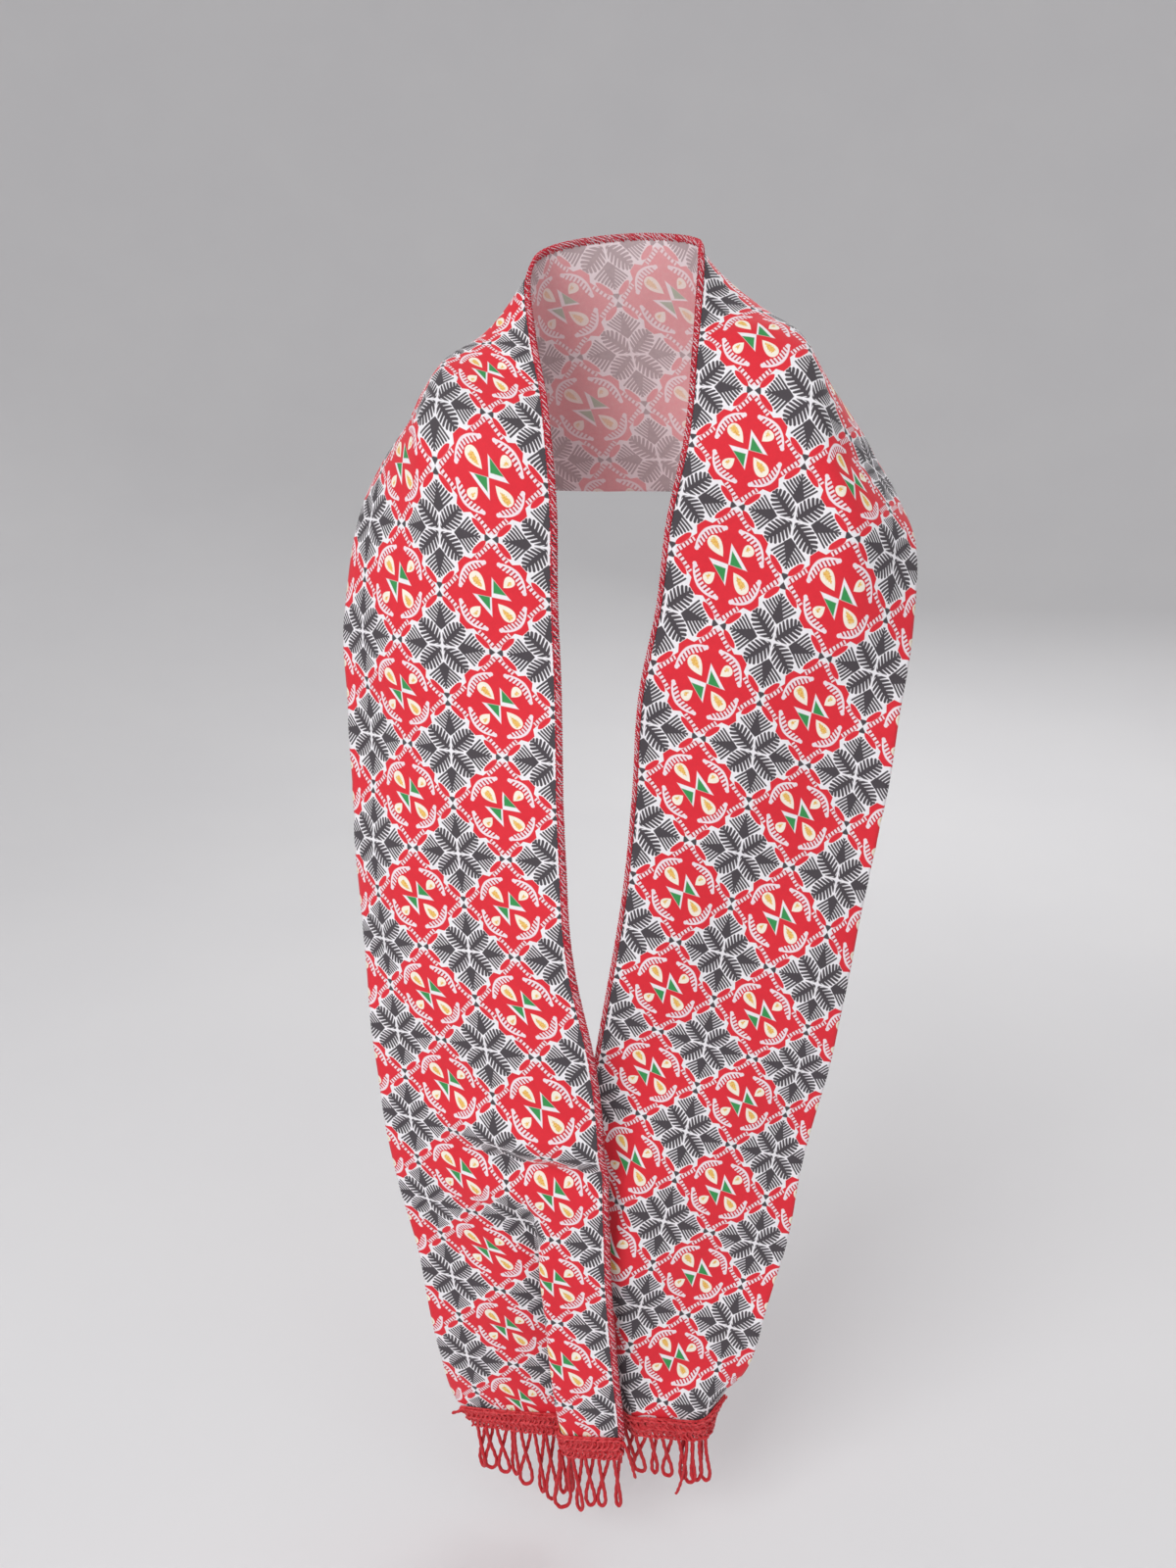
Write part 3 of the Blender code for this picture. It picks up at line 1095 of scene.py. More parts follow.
class Drop(NamedTuple):
    """A drop with a pointed tip and a round end."""

    tip: tuple
    end: tuple
    width: float


@dataclass(frozen=True)
class DiamondPrint:
    """The small repeat, drawn by formula in pitches of the lattice.

    A white diamond holds a rosette of four feathered petals on its diagonals and four fans
    on its axes. A red one has toothed crescents and rows of beads along its sides, and a
    pair of green and white triangles with two pairs of gold drops in its middle.
    """

    inks: PrintInks = PrintInks()
    petal: Petal = Petal()
    fan: Fan = Fan()
    side_reds: SideReds = SideReds()
    side_whites: SideWhites = SideWhites()
    triangles: tuple = (
        Triangle((0.003, 0.175), (0.172, -0.011), (0.028, 0.002, 0.016)),
        Triangle((-0.003, -0.172), (-0.174, 0.013), (0.002, 0.038, 0.016)),
    )
    large_drop: Drop = Drop((0.055, -0.052), (0.187, -0.191), 0.061)
    small_drop: Drop = Drop((0.108, 0.095), (0.191, 0.185), 0.047)
    drop_swell: float = 2.6
    edge: float = 0.007
    ground_margin: float = 0.010
    corner_gap: float = 0.070
    gold_off: tuple = (-0.004, 0.012)
    gold_margin: float = 0.037
    gold_spread: float = 0.010
    gold_edge: float = 1.6

    @staticmethod
    def half_plane(x: Value, y: Value, start: tuple, end: tuple) -> Value:
        """How far a place lies to the right of a line.

        Args:
            x: the place's first measure.
            y: its second.
            start: the point where the line starts.
            end: a point further along it.

        Returns:
            The way to the right, below zero on the left.
        """
        run, rise = end[0] - start[0], end[1] - start[1]
        length = (run * run + rise * rise) ** 0.5
        offset = (rise * start[0] - run * start[1]) / length
        return x * (rise / length) - y * (run / length) - offset

    def drop(self, x: Value, y: Value, drop: Drop) -> Value:
        """How far a place lies inside a drop.

        Its half width is swell * width * t * sqrt(1 - t) at a share t of its length.

        Args:
            x: the place's first measure.
            y: its second.
            drop: the drop.

        Returns:
            The way in from the drop's edge, below zero outside it.
        """
        tip, end, width = drop
        run, rise = end[0] - tip[0], end[1] - tip[1]
        length = (run * run + rise * rise) ** 0.5
        along = (x - tip[0]) * (run / length**2) + (y - tip[1]) * (rise / length**2)
        share = along.math("MULTIPLY", 1.0, clamp=True)
        aside = abs(self.half_plane(x, y, tip, end))
        swell = share * (1 - share).math("SQRT") * (self.drop_swell * width)
        return (swell - aside).least(along * length, (1 - along) * length)

    def drops(self, x: Value, y: Value) -> Value:
        """How far a place lies inside the large and small drops, alike after a half turn."""
        px, py = abs(x), y * x.math("SIGN")
        return self.drop(px, py, self.large_drop).most(self.drop(px, py, self.small_drop))

    def white_diamond(self, x: Value, y: Value) -> bpy.types.NodeSocket:
        """The colour inside a white diamond: charcoal petals and fans on white.

        Args:
            x: the place's first measure from the diamond's middle.
            y: its second.

        Returns:
            The colour.
        """
        folded = abs(x), abs(y)
        leaves = self.petal.inset(*folded).most(self.fan.inset(*folded)).inside(self.edge)
        return blended(x.tree, leaves, self.inks.white, self.inks.charcoal)

    def red_diamond(
        self, x: Value, up: Value, colour: bpy.types.NodeSocket, mottle: Value
    ) -> bpy.types.NodeSocket:
        """The middle of a red diamond: the pair of triangles and the drops.

        Args:
            x: the place's first measure from the diamond's middle.
            up: its second.
            colour: the colour so far, with what lies along the diamond's sides.
            mottle: how far the gold turns to amber.

        Returns:
            The colour with the triangles and drops on it.
        """
        tree, inks, middle = x.tree, self.inks, (0.0, 0.0)
        for near_tip, far_tip, (outer, closing, opening) in self.triangles:
            out = self.half_plane(x, up, near_tip, far_tip)
            close = self.half_plane(x, up, far_tip, middle)
            start = self.half_plane(x, up, middle, near_tip)
            white = out.least(close, start).inside(self.edge)
            green = (out - outer).least(close - closing, start - opening).inside(self.edge)
            colour = blended(tree, white, colour, inks.white)
            colour = blended(tree, green, colour, inks.green)
        colour = blended(tree, self.drops(x, up).inside(self.edge), colour, inks.cream)
        off_x, off_up = self.gold_off
        margin = self.gold_margin - mottle * self.gold_spread
        inner = self.drops(x - off_x, up - off_up) - margin
        gold = blended(tree, mottle, inks.gold, inks.amber)
        return blended(tree, inner.inside(self.edge * self.gold_edge), colour, gold)

    def group(self) -> EffectGroup:
        """The print as a node group.

        The two measures' sum and difference, each less its nearest whole number, say where
        a place is in its own diamond. That diamond is red where the whole numbers add up to
        an odd one.

        Returns:
            The group, which takes lattice measures and gives the colour and where ink is red.
        """
        group = EffectGroup(
            "diamond_print",
            {"Lattice": Socket.PLACE, "Mottle": Socket.NUMBER},
            {"Colour": Socket.COLOUR, "Red ink": Socket.NUMBER},
        )
        tree, inks = group.tree, self.inks
        x, y = split(tree, group.entry.outputs["Lattice"])
        a, b = x + y, x - y
        i, j = a.math("ROUND"), b.math("ROUND")
        s, t = a - i, b - j
        odd = abs(i + j).math("MODULO", 2.0).math("ROUND")
        local_x, local_y = (s + t) * 0.5, (s - t) * 0.5
        far, near = abs(s).most(abs(t)), abs(s).least(abs(t))
        n = (0.5 - far) * (odd * 2.0 - 1.0)

        aside = 0.5 - near
        from_corner = (aside * aside + n * n).math("SQRT")
        ground = (n - self.ground_margin).least(from_corner - self.corner_gap)
        ground = ground.inside(self.edge)
        whites, gaps = self.side_whites.inset(n, near)
        reds = blended(tree, ground, inks.white, inks.red)
        reds = blended(tree, gaps.inside(self.edge), reds, inks.deep_red)
        reds = blended(tree, whites.inside(self.edge), reds, inks.pink_white)
        reds = self.red_diamond(local_x, local_y * -1.0, reds, group.taken("Mottle"))

        colour = blended(tree, odd, self.white_diamond(local_x, local_y), reds)
        across = self.side_reds.inset(n, near).inside(self.edge)
        group.give("Colour", blended(tree, across, colour, inks.red))
        group.give("Red ink", (ground * odd).most(across))
        return group


@dataclass(frozen=True)
class PlainWeave:
    """Plain weave: threads over and under each other.

    The height is the product of a sine along and a sine across, one half turn to a thread,
    plus uneven thread thickness. The shade dips in the holes between threads.
    """

    thread_height: float = 0.5
    slub_cells: float = 900.0
    slub_height: float = 0.8
    hole_shade: float = 0.10
    slub_shade: float = 0.10
    least_shade: float = 0.86

    def group(self) -> EffectGroup:
        """The weave as a node group.

        Returns:
            The group, which takes a place on the cloth and the threads to a metre.
        """
        group = EffectGroup(
            "plain_weave",
            {"Place": Socket.PLACE, "Threads": Socket.NUMBER},
            {"Height": Socket.NUMBER, "Shade": Socket.NUMBER},
        )
        tree, place = group.tree, group.entry.outputs["Place"]
        turns = [
            (measure * group.taken("Threads") * np.pi).math("SINE")
            for measure in split(tree, place)
        ]
        crossing = turns[0] * turns[1]
        slub = noise(tree, place, self.slub_cells, detail=3.0)
        group.give("Height", crossing * self.thread_height + slub * self.slub_height)
        holes = abs(turns[0]).least(abs(turns[1])) * self.hole_shade
        group.give("Shade", holes + slub * self.slub_shade + self.least_shade)
        return group


@dataclass(frozen=True)
class TwistedYarn:
    """Twisted thread, on a cord's own turn and length.

    Fine yarns wind round the cord: a sine of the turn plus the length over their pitch.
    """

    groove_shade: float = 0.13

    def group(self) -> EffectGroup:
        """The twist as a node group.

        Returns:
            The group, which takes a turn and a length on the cord, the yarns and their pitch.
        """
        group = EffectGroup(
            "twisted_yarn",
            {"Strand": Socket.PLACE, "Yarns": Socket.NUMBER, "Twist": Socket.NUMBER},
            {"Height": Socket.NUMBER, "Shade": Socket.NUMBER},
        )
        turn, length = split(group.tree, group.entry.outputs["Strand"])
        yarns, twist = group.taken("Yarns"), group.taken("Twist")
        wave = ((turn + length / twist) * yarns * (2 * np.pi)).math("SINE")
        group.give("Height", wave)
        group.give("Shade", wave * self.groove_shade + (1 - self.groove_shade))
        return group


# ---------------------------------------------------------------------------------------
# Finishes
# ---------------------------------------------------------------------------------------


def new_material(name: str) -> tuple[bpy.types.Material, bpy.types.NodeTree, bpy.types.Node]:
    """Starts a material.

    Args:
        name: its name.

    Returns:
        The material with its tree and its Principled shader.
    """
    material = bpy.data.materials.new(name)
    material.use_nodes = True
    tree = material.node_tree
    return material, tree, tree.nodes["Principled BSDF"]


def bumped(
    tree: bpy.types.NodeTree, height: Source, depth: float, strength: float
) -> bpy.types.NodeSocket:
    """Adds a Bump node.

    Args:
        tree: the tree that it goes into.
        height: the surface's height.
        depth: how far it stands out where the height is 1, in metres.
        strength: how much of it is felt.

    Returns:
        The normal of the surface.
    """
    node = tree.nodes.new("ShaderNodeBump")
    fill(node, {"Strength": strength, "Distance": depth, "Height": height})
    return node.outputs["Normal"]


@dataclass(frozen=True)
class PrintedCotton:
    """Thin plain-woven cotton, printed on its face, with the print struck through behind."""

    threads: float = 2300.0
    roughness: float = 0.78
    gloss: float = 0.35
    sheen: float = 0.12
    sheen_roughness: float = 0.45
    weave_depth: float = 0.12 * MM
    weave_strength: float = 0.35
    mottle_cells: float = 1400.0
    mottle_from: float = 0.42
    mottle_contrast: float = 4.0
    ink_cells: float = 260.0
    ink_spread: float = 0.14
    ink_smooths: float = 0.08
    back_of_print: tuple = linear(228, 205, 207)
    through: float = 0.42
    through_cells: float = 420.0
    through_spread: float = 0.16

    def material(
        self, name: str, prints: EffectGroup, weave: EffectGroup, reverse: bool
    ) -> bpy.types.Material:
        """The cloth's material on its face or on its reverse.

        Args:
            name: the material's name.
            prints: the print's group.
            weave: the weave's group.
            reverse: whether it is the side that only shows the print struck through.

        Returns:
            The material.
        """
        material, tree, shader = new_material(name)
        cloth = uv_place(tree, "cloth")
        mottle = noise(tree, cloth, self.mottle_cells) - self.mottle_from
        mottle = mottle.math("MULTIPLY", self.mottle_contrast, clamp=True)
        values = {"Lattice": uv_place(tree, "lattice"), "Mottle": mottle}
        printed = prints.place_in(tree, values)
        woven = weave.place_in(tree, {"Place": cloth, "Threads": self.threads})
        ink = noise(tree, cloth, self.ink_cells, detail=4.0).about(1.0, self.ink_spread)
        colour = shaded(tree, printed["Colour"], ink)
        if reverse:
            patches = noise(tree, cloth, self.through_cells)
            strength = patches.about(self.through, self.through_spread)
            colour = blended(tree, strength, self.back_of_print, colour)
        smoother = Value(tree, printed["Red ink"]) * self.ink_smooths
        fill(
            shader,
            {
                "Base Color": shaded(tree, colour, woven["Shade"]),
                "Roughness": self.roughness - smoother,
                "Specular IOR Level": self.gloss,
                "Sheen Weight": self.sheen,
                "Sheen Roughness": self.sheen_roughness,
                "Normal": bumped(tree, woven["Height"], self.weave_depth, self.weave_strength),
            },
        )
        return material


@dataclass(frozen=True)
class YarnFinish:
    """A dyed yarn: its light and dark colours, which hold uneven dye and painted light and
    shade, its gloss and its fine twist.
    """

    name: str
    light: tuple
    dark: tuple
    roughness: float
    gloss: float
    contrast: float = 1.0
    dye_and_painted_light_cells: float = 420.0
    roughness_spread: float = 0.22
    yarns: float = 3.0
    twist: float = 0.0016
    sheen: float = 0.05
    sheen_roughness: float = 0.35
    twist_depth: float = 0.10 * MM
    twist_strength: float = 0.6

    def material(self, ply: EffectGroup) -> bpy.types.Material:
        """The yarn's material, streaked with painted shade along the twist and blotched by
        uneven dye and by painted light and shade on the yarn's lumps.

        Args:
            ply: the twisted yarn's group.

        Returns:
            The material.
        """
        material, tree, shader = new_material(self.name)
        strand = uv_place(tree, "strand")
        values = {"Strand": strand, "Yarns": self.yarns, "Twist": self.twist}
        twisted = ply.place_in(tree, values)
        # Random blotches from the dark to the light colour: partly uneven dye, partly painted
        # light and shade that stand for the yarn's lumps catching the light.
        dye_and_painted_light = noise(tree, object_place(tree), self.dye_and_painted_light_cells, detail=3.0)
        dye_and_painted_light = ((dye_and_painted_light - 0.5) * self.contrast).math("ADD", 0.5, clamp=True)
        colour = blended(tree, dye_and_painted_light, self.dark, self.light)
        fill(
            shader,
            {
                "Base Color": shaded(tree, colour, twisted["Shade"]),
                "Roughness": dye_and_painted_light.about(self.roughness, self.roughness_spread),
                "Specular IOR Level": self.gloss,
                "Sheen Weight": self.sheen,
                "Sheen Roughness": self.sheen_roughness,
                "Normal": bumped(tree, twisted["Height"], self.twist_depth, self.twist_strength),
            },
        )
        return material


# Each yarn's light colour is partly painted highlight and its dark colour partly painted shade;
# the crochet's high contrast makes its lumps read as lit and shaded.
CRIMSON_OVERLOCK = YarnFinish(
    "overlock_crimson", linear(240, 40, 66), linear(204, 24, 50), 0.62, 0.4
)
PALE_OVERLOCK = YarnFinish(
    "overlock_pale", linear(252, 232, 236), linear(240, 190, 200), 0.60, 0.4
)
CROCHET_RED = YarnFinish(
    "crochet_red", linear(255, 84, 90), linear(210, 6, 30), 0.38, 0.6, contrast=2.6
)
LOOP_CRIMSON = YarnFinish("loop_crimson", linear(240, 38, 50), linear(184, 10, 30), 0.46, 0.45)


# ---------------------------------------------------------------------------------------
# The strip, its overlock and its trims
# ---------------------------------------------------------------------------------------


@dataclass
class ClothStrip:
    """The printed strip, as one sheet from hem to hem."""

    form: ClothForm
    lattice: Lattice
    columns: int = 71
    rows: int = 623
    thickness: float = 0.0007

    def grid(self) -> tuple[np.ndarray, np.ndarray]:
        """The sheet's places along and across."""
        along = np.linspace(0, CLOTH_LENGTH, self.rows)
        return along, np.linspace(0, CLOTH_WIDTH, self.columns)

    def build(self) -> bpy.types.Object:
        """The sheet: a grid of the form's points, thickened evenly to both sides.

        Returns:
            The sheet, with the UV maps "cloth", in metres, and "lattice".
        """
        along, across = self.grid()
        points = self.form.points(along, across).reshape(-1, 3)
        number = np.arange(len(points)).reshape(self.rows, self.columns)
        quads = walls(number[:-1, :-1], number[1:, :-1], number[1:, 1:], number[:-1, 1:])
        u, v = np.meshgrid(along, across, indexing="ij")
        maps = {
            "cloth": np.stack([v, u], -1).reshape(-1, 2),
            "lattice": self.lattice.measures(u, v).reshape(-1, 2),
        }
        piece = mesh_object("printed_strip", points, quads, maps)
        wall = piece.modifiers.new("thickness", "SOLIDIFY")
        wall.thickness = self.thickness
        wall.offset = 0.0
        wall.use_even_offset = False
        wall.material_offset = 1
        wall.material_offset_rim = 1
        return piece

    def dress(self, piece: bpy.types.Object, cotton: PrintedCotton) -> None:
        """Gives the sheet its printed face and its struck-through reverse.

        Args:
            piece: the sheet.
            cotton: its finish.
        """
        prints, weave = DiamondPrint().group(), PlainWeave().group()
        for name, reverse in (("printed_face", False), ("printed_reverse", True)):
            piece.data.materials.append(cotton.material(name, prints, weave, reverse))


class Sway(NamedTuple):
    """A slow sine along a seam: its size, its radians to a turn of thread, and its start."""

    size: float
    rate: float
    start: float = 0.0

    def at(self, turn: np.ndarray, later: float = 0.0) -> np.ndarray:
        """Its value at these turns of the thread, begun this many radians later."""
        return self.size * np.sin(turn * self.rate + self.start + later)


@dataclass
class Overlock:
    """The overlock along the neck-side edge: threads that wrap the cloth's raw edge.

    Each thread is a flat spiral round the edge: across the band and back it follows a
    cosine, and over and under the cloth a flattened sine. The sways make its width, lean
    and lift uneven.
    """

    edge: Ribbon
    band: float = 0.0030
    turned_under: float = 0.42
    turns_under_from: float = 0.5
    turns_under_in: float = 0.2
    overhang: float = 0.0005
    lift: float = 0.0008
    flatness: float = 0.45
    slant: float = 0.9
    width_sways: tuple = (Sway(0.10, 2.3), Sway(0.07, 5.1, 1.0))
    lean_sway: Sway = Sway(0.3, 0.9)
    lift_sway: Sway = Sway(0.24, 1.7)
    sway_shift: float = 9.0
    end_margin: float = 0.002
    dense_pitch: float = 0.0012
    pale_pitch: float = 0.0034
    pale_phase: float = 0.3
    pale_over: float = 0.00016
    pale_inside: float = 0.0002
    chain_pitch: float = 0.0027
    chain_inside: float = 0.0002
    chain_zigzag: float = 0.0003
    chain_low: float = 0.2
    points_per_turn: int = 8
    points_per_stitch: int = 6
    dense_thread: Strand = Strand(0.00037, sides=5)
    chain_thread: Strand = Strand(0.00028, sides=5)
    pale_thread: Strand = Strand(0.00029, sides=5)

    def shown(self, share: np.ndarray) -> np.ndarray:
        """How much of the band's width shows: the edge turns under on the right front."""
        turned = np.clip((share - self.turns_under_from) / self.turns_under_in, 0, 1)
        return 1 - self.turned_under * turned

    def spiral(self, pitch: float, phase: float, lift: float, shorten: float) -> tuple:
        """The path of one thread along the whole edge, and directions along the edge.

        Args:
            pitch: the way along the edge in one turn, in metres.
            phase: where it starts, in turns.
            lift: how far it stands off the middle of the cloth.
            shorten: how much narrower than the band it is.

        Returns:
            The path and the upright directions, each of shape (1, points, 3).
        """
        turns = (CLOTH_LENGTH - 2 * self.end_margin) / pitch
        turn = np.linspace(0, turns, int(turns * self.points_per_turn))
        angle = 2 * np.pi * (turn + phase)
        wobble = sum((sway.at(turn) for sway in self.width_sways), 1.0)
        half = (self.band - shorten + self.overhang) / 2 * wobble * self.shown(turn / turns)
        side = half - self.overhang + half * np.cos(angle)
        lean = pitch * (self.slant * np.cos(angle) + self.lean_sway.at(turn))
        lift = lift * (1 + self.lift_sway.at(turn, self.sway_shift * phase))
        rise = np.sign(np.sin(angle)) * np.abs(np.sin(angle)) ** self.flatness * lift
        measure = self.end_margin + turn * pitch + lean
        path = self.edge.place(measure, side, rise)
        return path[None], self.edge.ahead_at(measure)[None]

    def chain(self) -> tuple:
        """The needle's line of small stitches along the inside of the band.

        Returns:
            The path and the upright directions, each of shape (1, points, 3).
        """
        count = int((CLOTH_LENGTH - 2 * self.end_margin) / self.chain_pitch)
        turn = np.linspace(0, count, count * self.points_per_stitch)
        measure = self.end_margin + turn * self.chain_pitch
        side = self.band * self.shown(turn / count) - self.chain_inside
        side += self.chain_zigzag * np.sin(2 * np.pi * turn * 2)
        arch = np.abs(np.sin(np.pi * turn)) ** 0.5
        rise = self.lift * (self.chain_low + (1 - self.chain_low) * arch)
        path = self.edge.place(measure, side, rise)
        return path[None], self.edge.out_at(measure)[None]

    def build(self) -> list[bpy.types.Object]:
        """The threads of each colour gathered into one mesh.

        Returns:
            The crimson threads and the pale ones.
        """
        crimson = CordMesh("overlock_crimson_threads")
        crimson.add(*self.spiral(self.dense_pitch, 0.0, self.lift, 0.0), self.dense_thread)
        crimson.add(*self.chain(), self.chain_thread)
        pale = CordMesh("overlock_pale_threads")
        lift = self.lift + self.pale_over
        threads = self.spiral(self.pale_pitch, self.pale_phase, lift, self.pale_inside)
        pale.add(*threads, self.pale_thread)
        return [crimson.finish(), pale.finish()]


@dataclass
class TrimHead:
    """The crocheted head of a trim: rows of looped stitches under a fine chain.

    Heights are measured up from the hem over the printed face. `drift` says how much the
    stitches' reach, height and depth vary, and `yarns` has the yarn next to the cloth and
    the yarn over it.
    """

    name: str
    hem: Ribbon
    seed: int
    row_heights: tuple = (0.0014, 0.0049, 0.0083, 0.0112)
    row_margin: float = 0.0015
    stitch_pitch: float = 0.0036
    stitch_reach: float = 0.00150
    stitch_half: float = 0.00205
    slant: float = 0.50
    sink: float = 0.6
    drift: tuple = (0.20, 0.16, 0.40)
    clearance: float = 0.0013
    layer_depth: float = 0.0011
    points_per_stitch: int = 15
    yarns: tuple = (Strand(0.00048, 2, 0.22, 0.0036, 7), Strand(0.00064, 2, 0.22, 0.0036, 7))
    chain_height: float = 0.0131
    chain_margin: float = 0.0005
    chain_pitch: float = 0.0022
    chain_reach: float = 0.0005
    chain_half: float = 0.00055
    chain_depth: float = 0.0004
    points_per_link: int = 10
    chain_yarn: Strand = Strand(0.00046, 2, 0.20, 0.0026, 6)

    def row(self, height: float, way: int, layer: int, random: np.random.Generator) -> tuple:
        """The yarn of one row, worked stitch by stitch, each a loop that closes on itself.

        At an angle of one turn to a stitch it goes along by the pitch and a sine, up and
        down by a cosine, and in and out by a sine of half a turn more. Sizes drift a little
        from stitch to stitch, and the row slants the way in which it was worked.

        Args:
            height: the row's middle above the hem.
            way: 1 or -1, the way in which it was worked.
            layer: 0 for the yarn next to the cloth and 1 for the yarn over it.
            random: the source of the stitches' unevenness.

        Returns:
            The path and its upright directions.
        """
        count = int((CLOTH_WIDTH - 2 * self.row_margin) / self.stitch_pitch)
        turn = np.linspace(0, count, count * self.points_per_stitch)
        angle = 2 * np.pi * (turn + layer / 2)
        reach, tall, sink = (
            1 + spread * np.interp(turn, np.arange(count + 1), random.normal(0, 1, count + 1))
            for spread in self.drift
        )
        up = self.stitch_half * tall * np.cos(angle)
        along = self.stitch_reach * reach * np.sin(angle) + self.slant * up
        measure = self.row_margin + turn * self.stitch_pitch + way * along
        depth = layer + 0.5 + self.sink * sink * np.sin(angle + way)
        lift = self.clearance + self.layer_depth * depth
        return self.hem.place(measure, height + up, lift)[None], self.hem.out_at(measure)[None]

    def chain(self, strand: int) -> tuple:
        """One of the two yarns of the fine chain along the head's upper edge.

        Args:
            strand: 0 or 1, and the second runs half a turn ahead.

        Returns:
            The path and its upright directions.
        """
        count = int((CLOTH_WIDTH - 2 * self.chain_margin) / self.chain_pitch)
        turn = np.linspace(0, count, count * self.points_per_link)
        angle = 2 * np.pi * (turn + strand / 2)
        measure = self.chain_margin + turn * self.chain_pitch + self.chain_reach * np.sin(angle)
        side = self.chain_height + self.chain_half * np.cos(angle)
        lift = self.clearance + self.chain_depth * (1 + np.sin(angle))
        return self.hem.place(measure, side, lift)[None], self.hem.out_at(measure)[None]

    def build(self) -> bpy.types.Object:
        """The head, worked row by row from the hem up.

        Returns:
            Its yarns as one mesh.
        """
        random = np.random.default_rng(self.seed)
        mesh = CordMesh(self.name)
        for number, height in enumerate(self.row_heights):
            way = 1 if number % 2 else -1
            for layer, yarn in enumerate(self.yarns):
                mesh.add(*self.row(height, way, layer, random), yarn)
        for strand in (0, 1):
            mesh.add(*self.chain(strand), self.chain_yarn)
        return mesh.finish()


class Loop(NamedTuple):
    """One loop of a fringe, in millimetres.

    `across` is where it hangs on the hem, `length` how far it reaches below, `legs` half the
    way between its two sewn ends, or below zero where the cord crosses itself, `bulb` its
    half width, `swing` how far its foot hangs to the right and `turn` its plane's turn in
    degrees.
    """

    across: float
    length: float
    legs: float
    bulb: float
    swing: float = 0.0
    turn: float = 0.0


LEFT_LOOPS = (
    Loop(4.5, 37, -1.8, 1.5, 1.5, 10),
    Loop(13.5, 38, -3.2, 2.9, -1.3, -8),
    Loop(24.0, 38, -2.8, 2.9, 0.8, 12),
    Loop(33.0, 42, -3.0, 2.5, 2.3, -14),
    Loop(41.5, 43, 3.6, 4.6, -2.0, 62),
    Loop(49.0, 40, -2.0, 2.1, 1.0, -30),
    Loop(59.0, 43, -2.4, 2.1, -1.0, -40),
    Loop(68.0, 46, -2.6, 2.1, 0.5, 30),
    Loop(77.0, 52, -3.2, 3.3, 0.4, 34),
    Loop(85.5, 47, -3.0, 2.7, 2.3, -20),
    Loop(95.5, 43, -3.4, 4.1, -0.5, 16),
    Loop(106.0, 36, 2.2, 2.5, 1.9, -10),
    Loop(115.0, 36, -3.2, 3.9, 1.6, 8),
    Loop(124.5, 34, -2.6, 3.7, 0.4, 26),
    Loop(131.5, 33, -2.4, 3.9, 1.0, -30),
)
RIGHT_LOOPS = (
    Loop(6.0, 38, -2.6, 2.7, -1.0, 15),
    Loop(15.5, 41, -3.0, 3.7, 1.5, -20),
    Loop(24.5, 37, -2.2, 2.3, 0.0, 10),
    Loop(34.5, 39, -3.2, 4.1, -1.6, 25),
    Loop(43.5, 36, 2.4, 3.1, 1.0, -12),
    Loop(53.0, 40, -2.8, 3.3, 0.6, 30),
    Loop(62.5, 37, -3.0, 3.7, -1.2, -18),
    Loop(71.0, 27, -3.4, 3.1, 1.8, 10),
    Loop(79.0, 30, -3.4, 4.1, -1.2, -8),
    Loop(86.5, 30, -2.6, 1.7, 1.2, 14),
    Loop(95.0, 32, -3.4, 3.1, 0.4, -6),
    Loop(103.5, 33, -2.4, 1.7, 2.2, 20),
    Loop(108.5, 36, 2.4, 3.3, 0.8, -12),
    Loop(112.5, 34, 2.0, 3.1, 1.6, 24),
    Loop(116.5, 35, 1.6, 2.7, 2.6, -30),
)


class Tail(NamedTuple):
    """A loose end of yarn: its points, in millimetres from the hem's point at `across`."""

    across: float
    route: tuple


LEFT_TAILS = (
    Tail(1, ((0, 0, 11), (3, -2, 8), (5.5, -2, 0), (9, -1, -15))),
    Tail(139, ((0, 0, 10), (-5, -2, 9.5), (-9, -2, 7.5), (-13, -1, 5))),
)
RIGHT_TAILS = (Tail(107, ((0, 0, 0), (0, -2, -12), (-2, -2, -30), (-6, -1, -45))),)


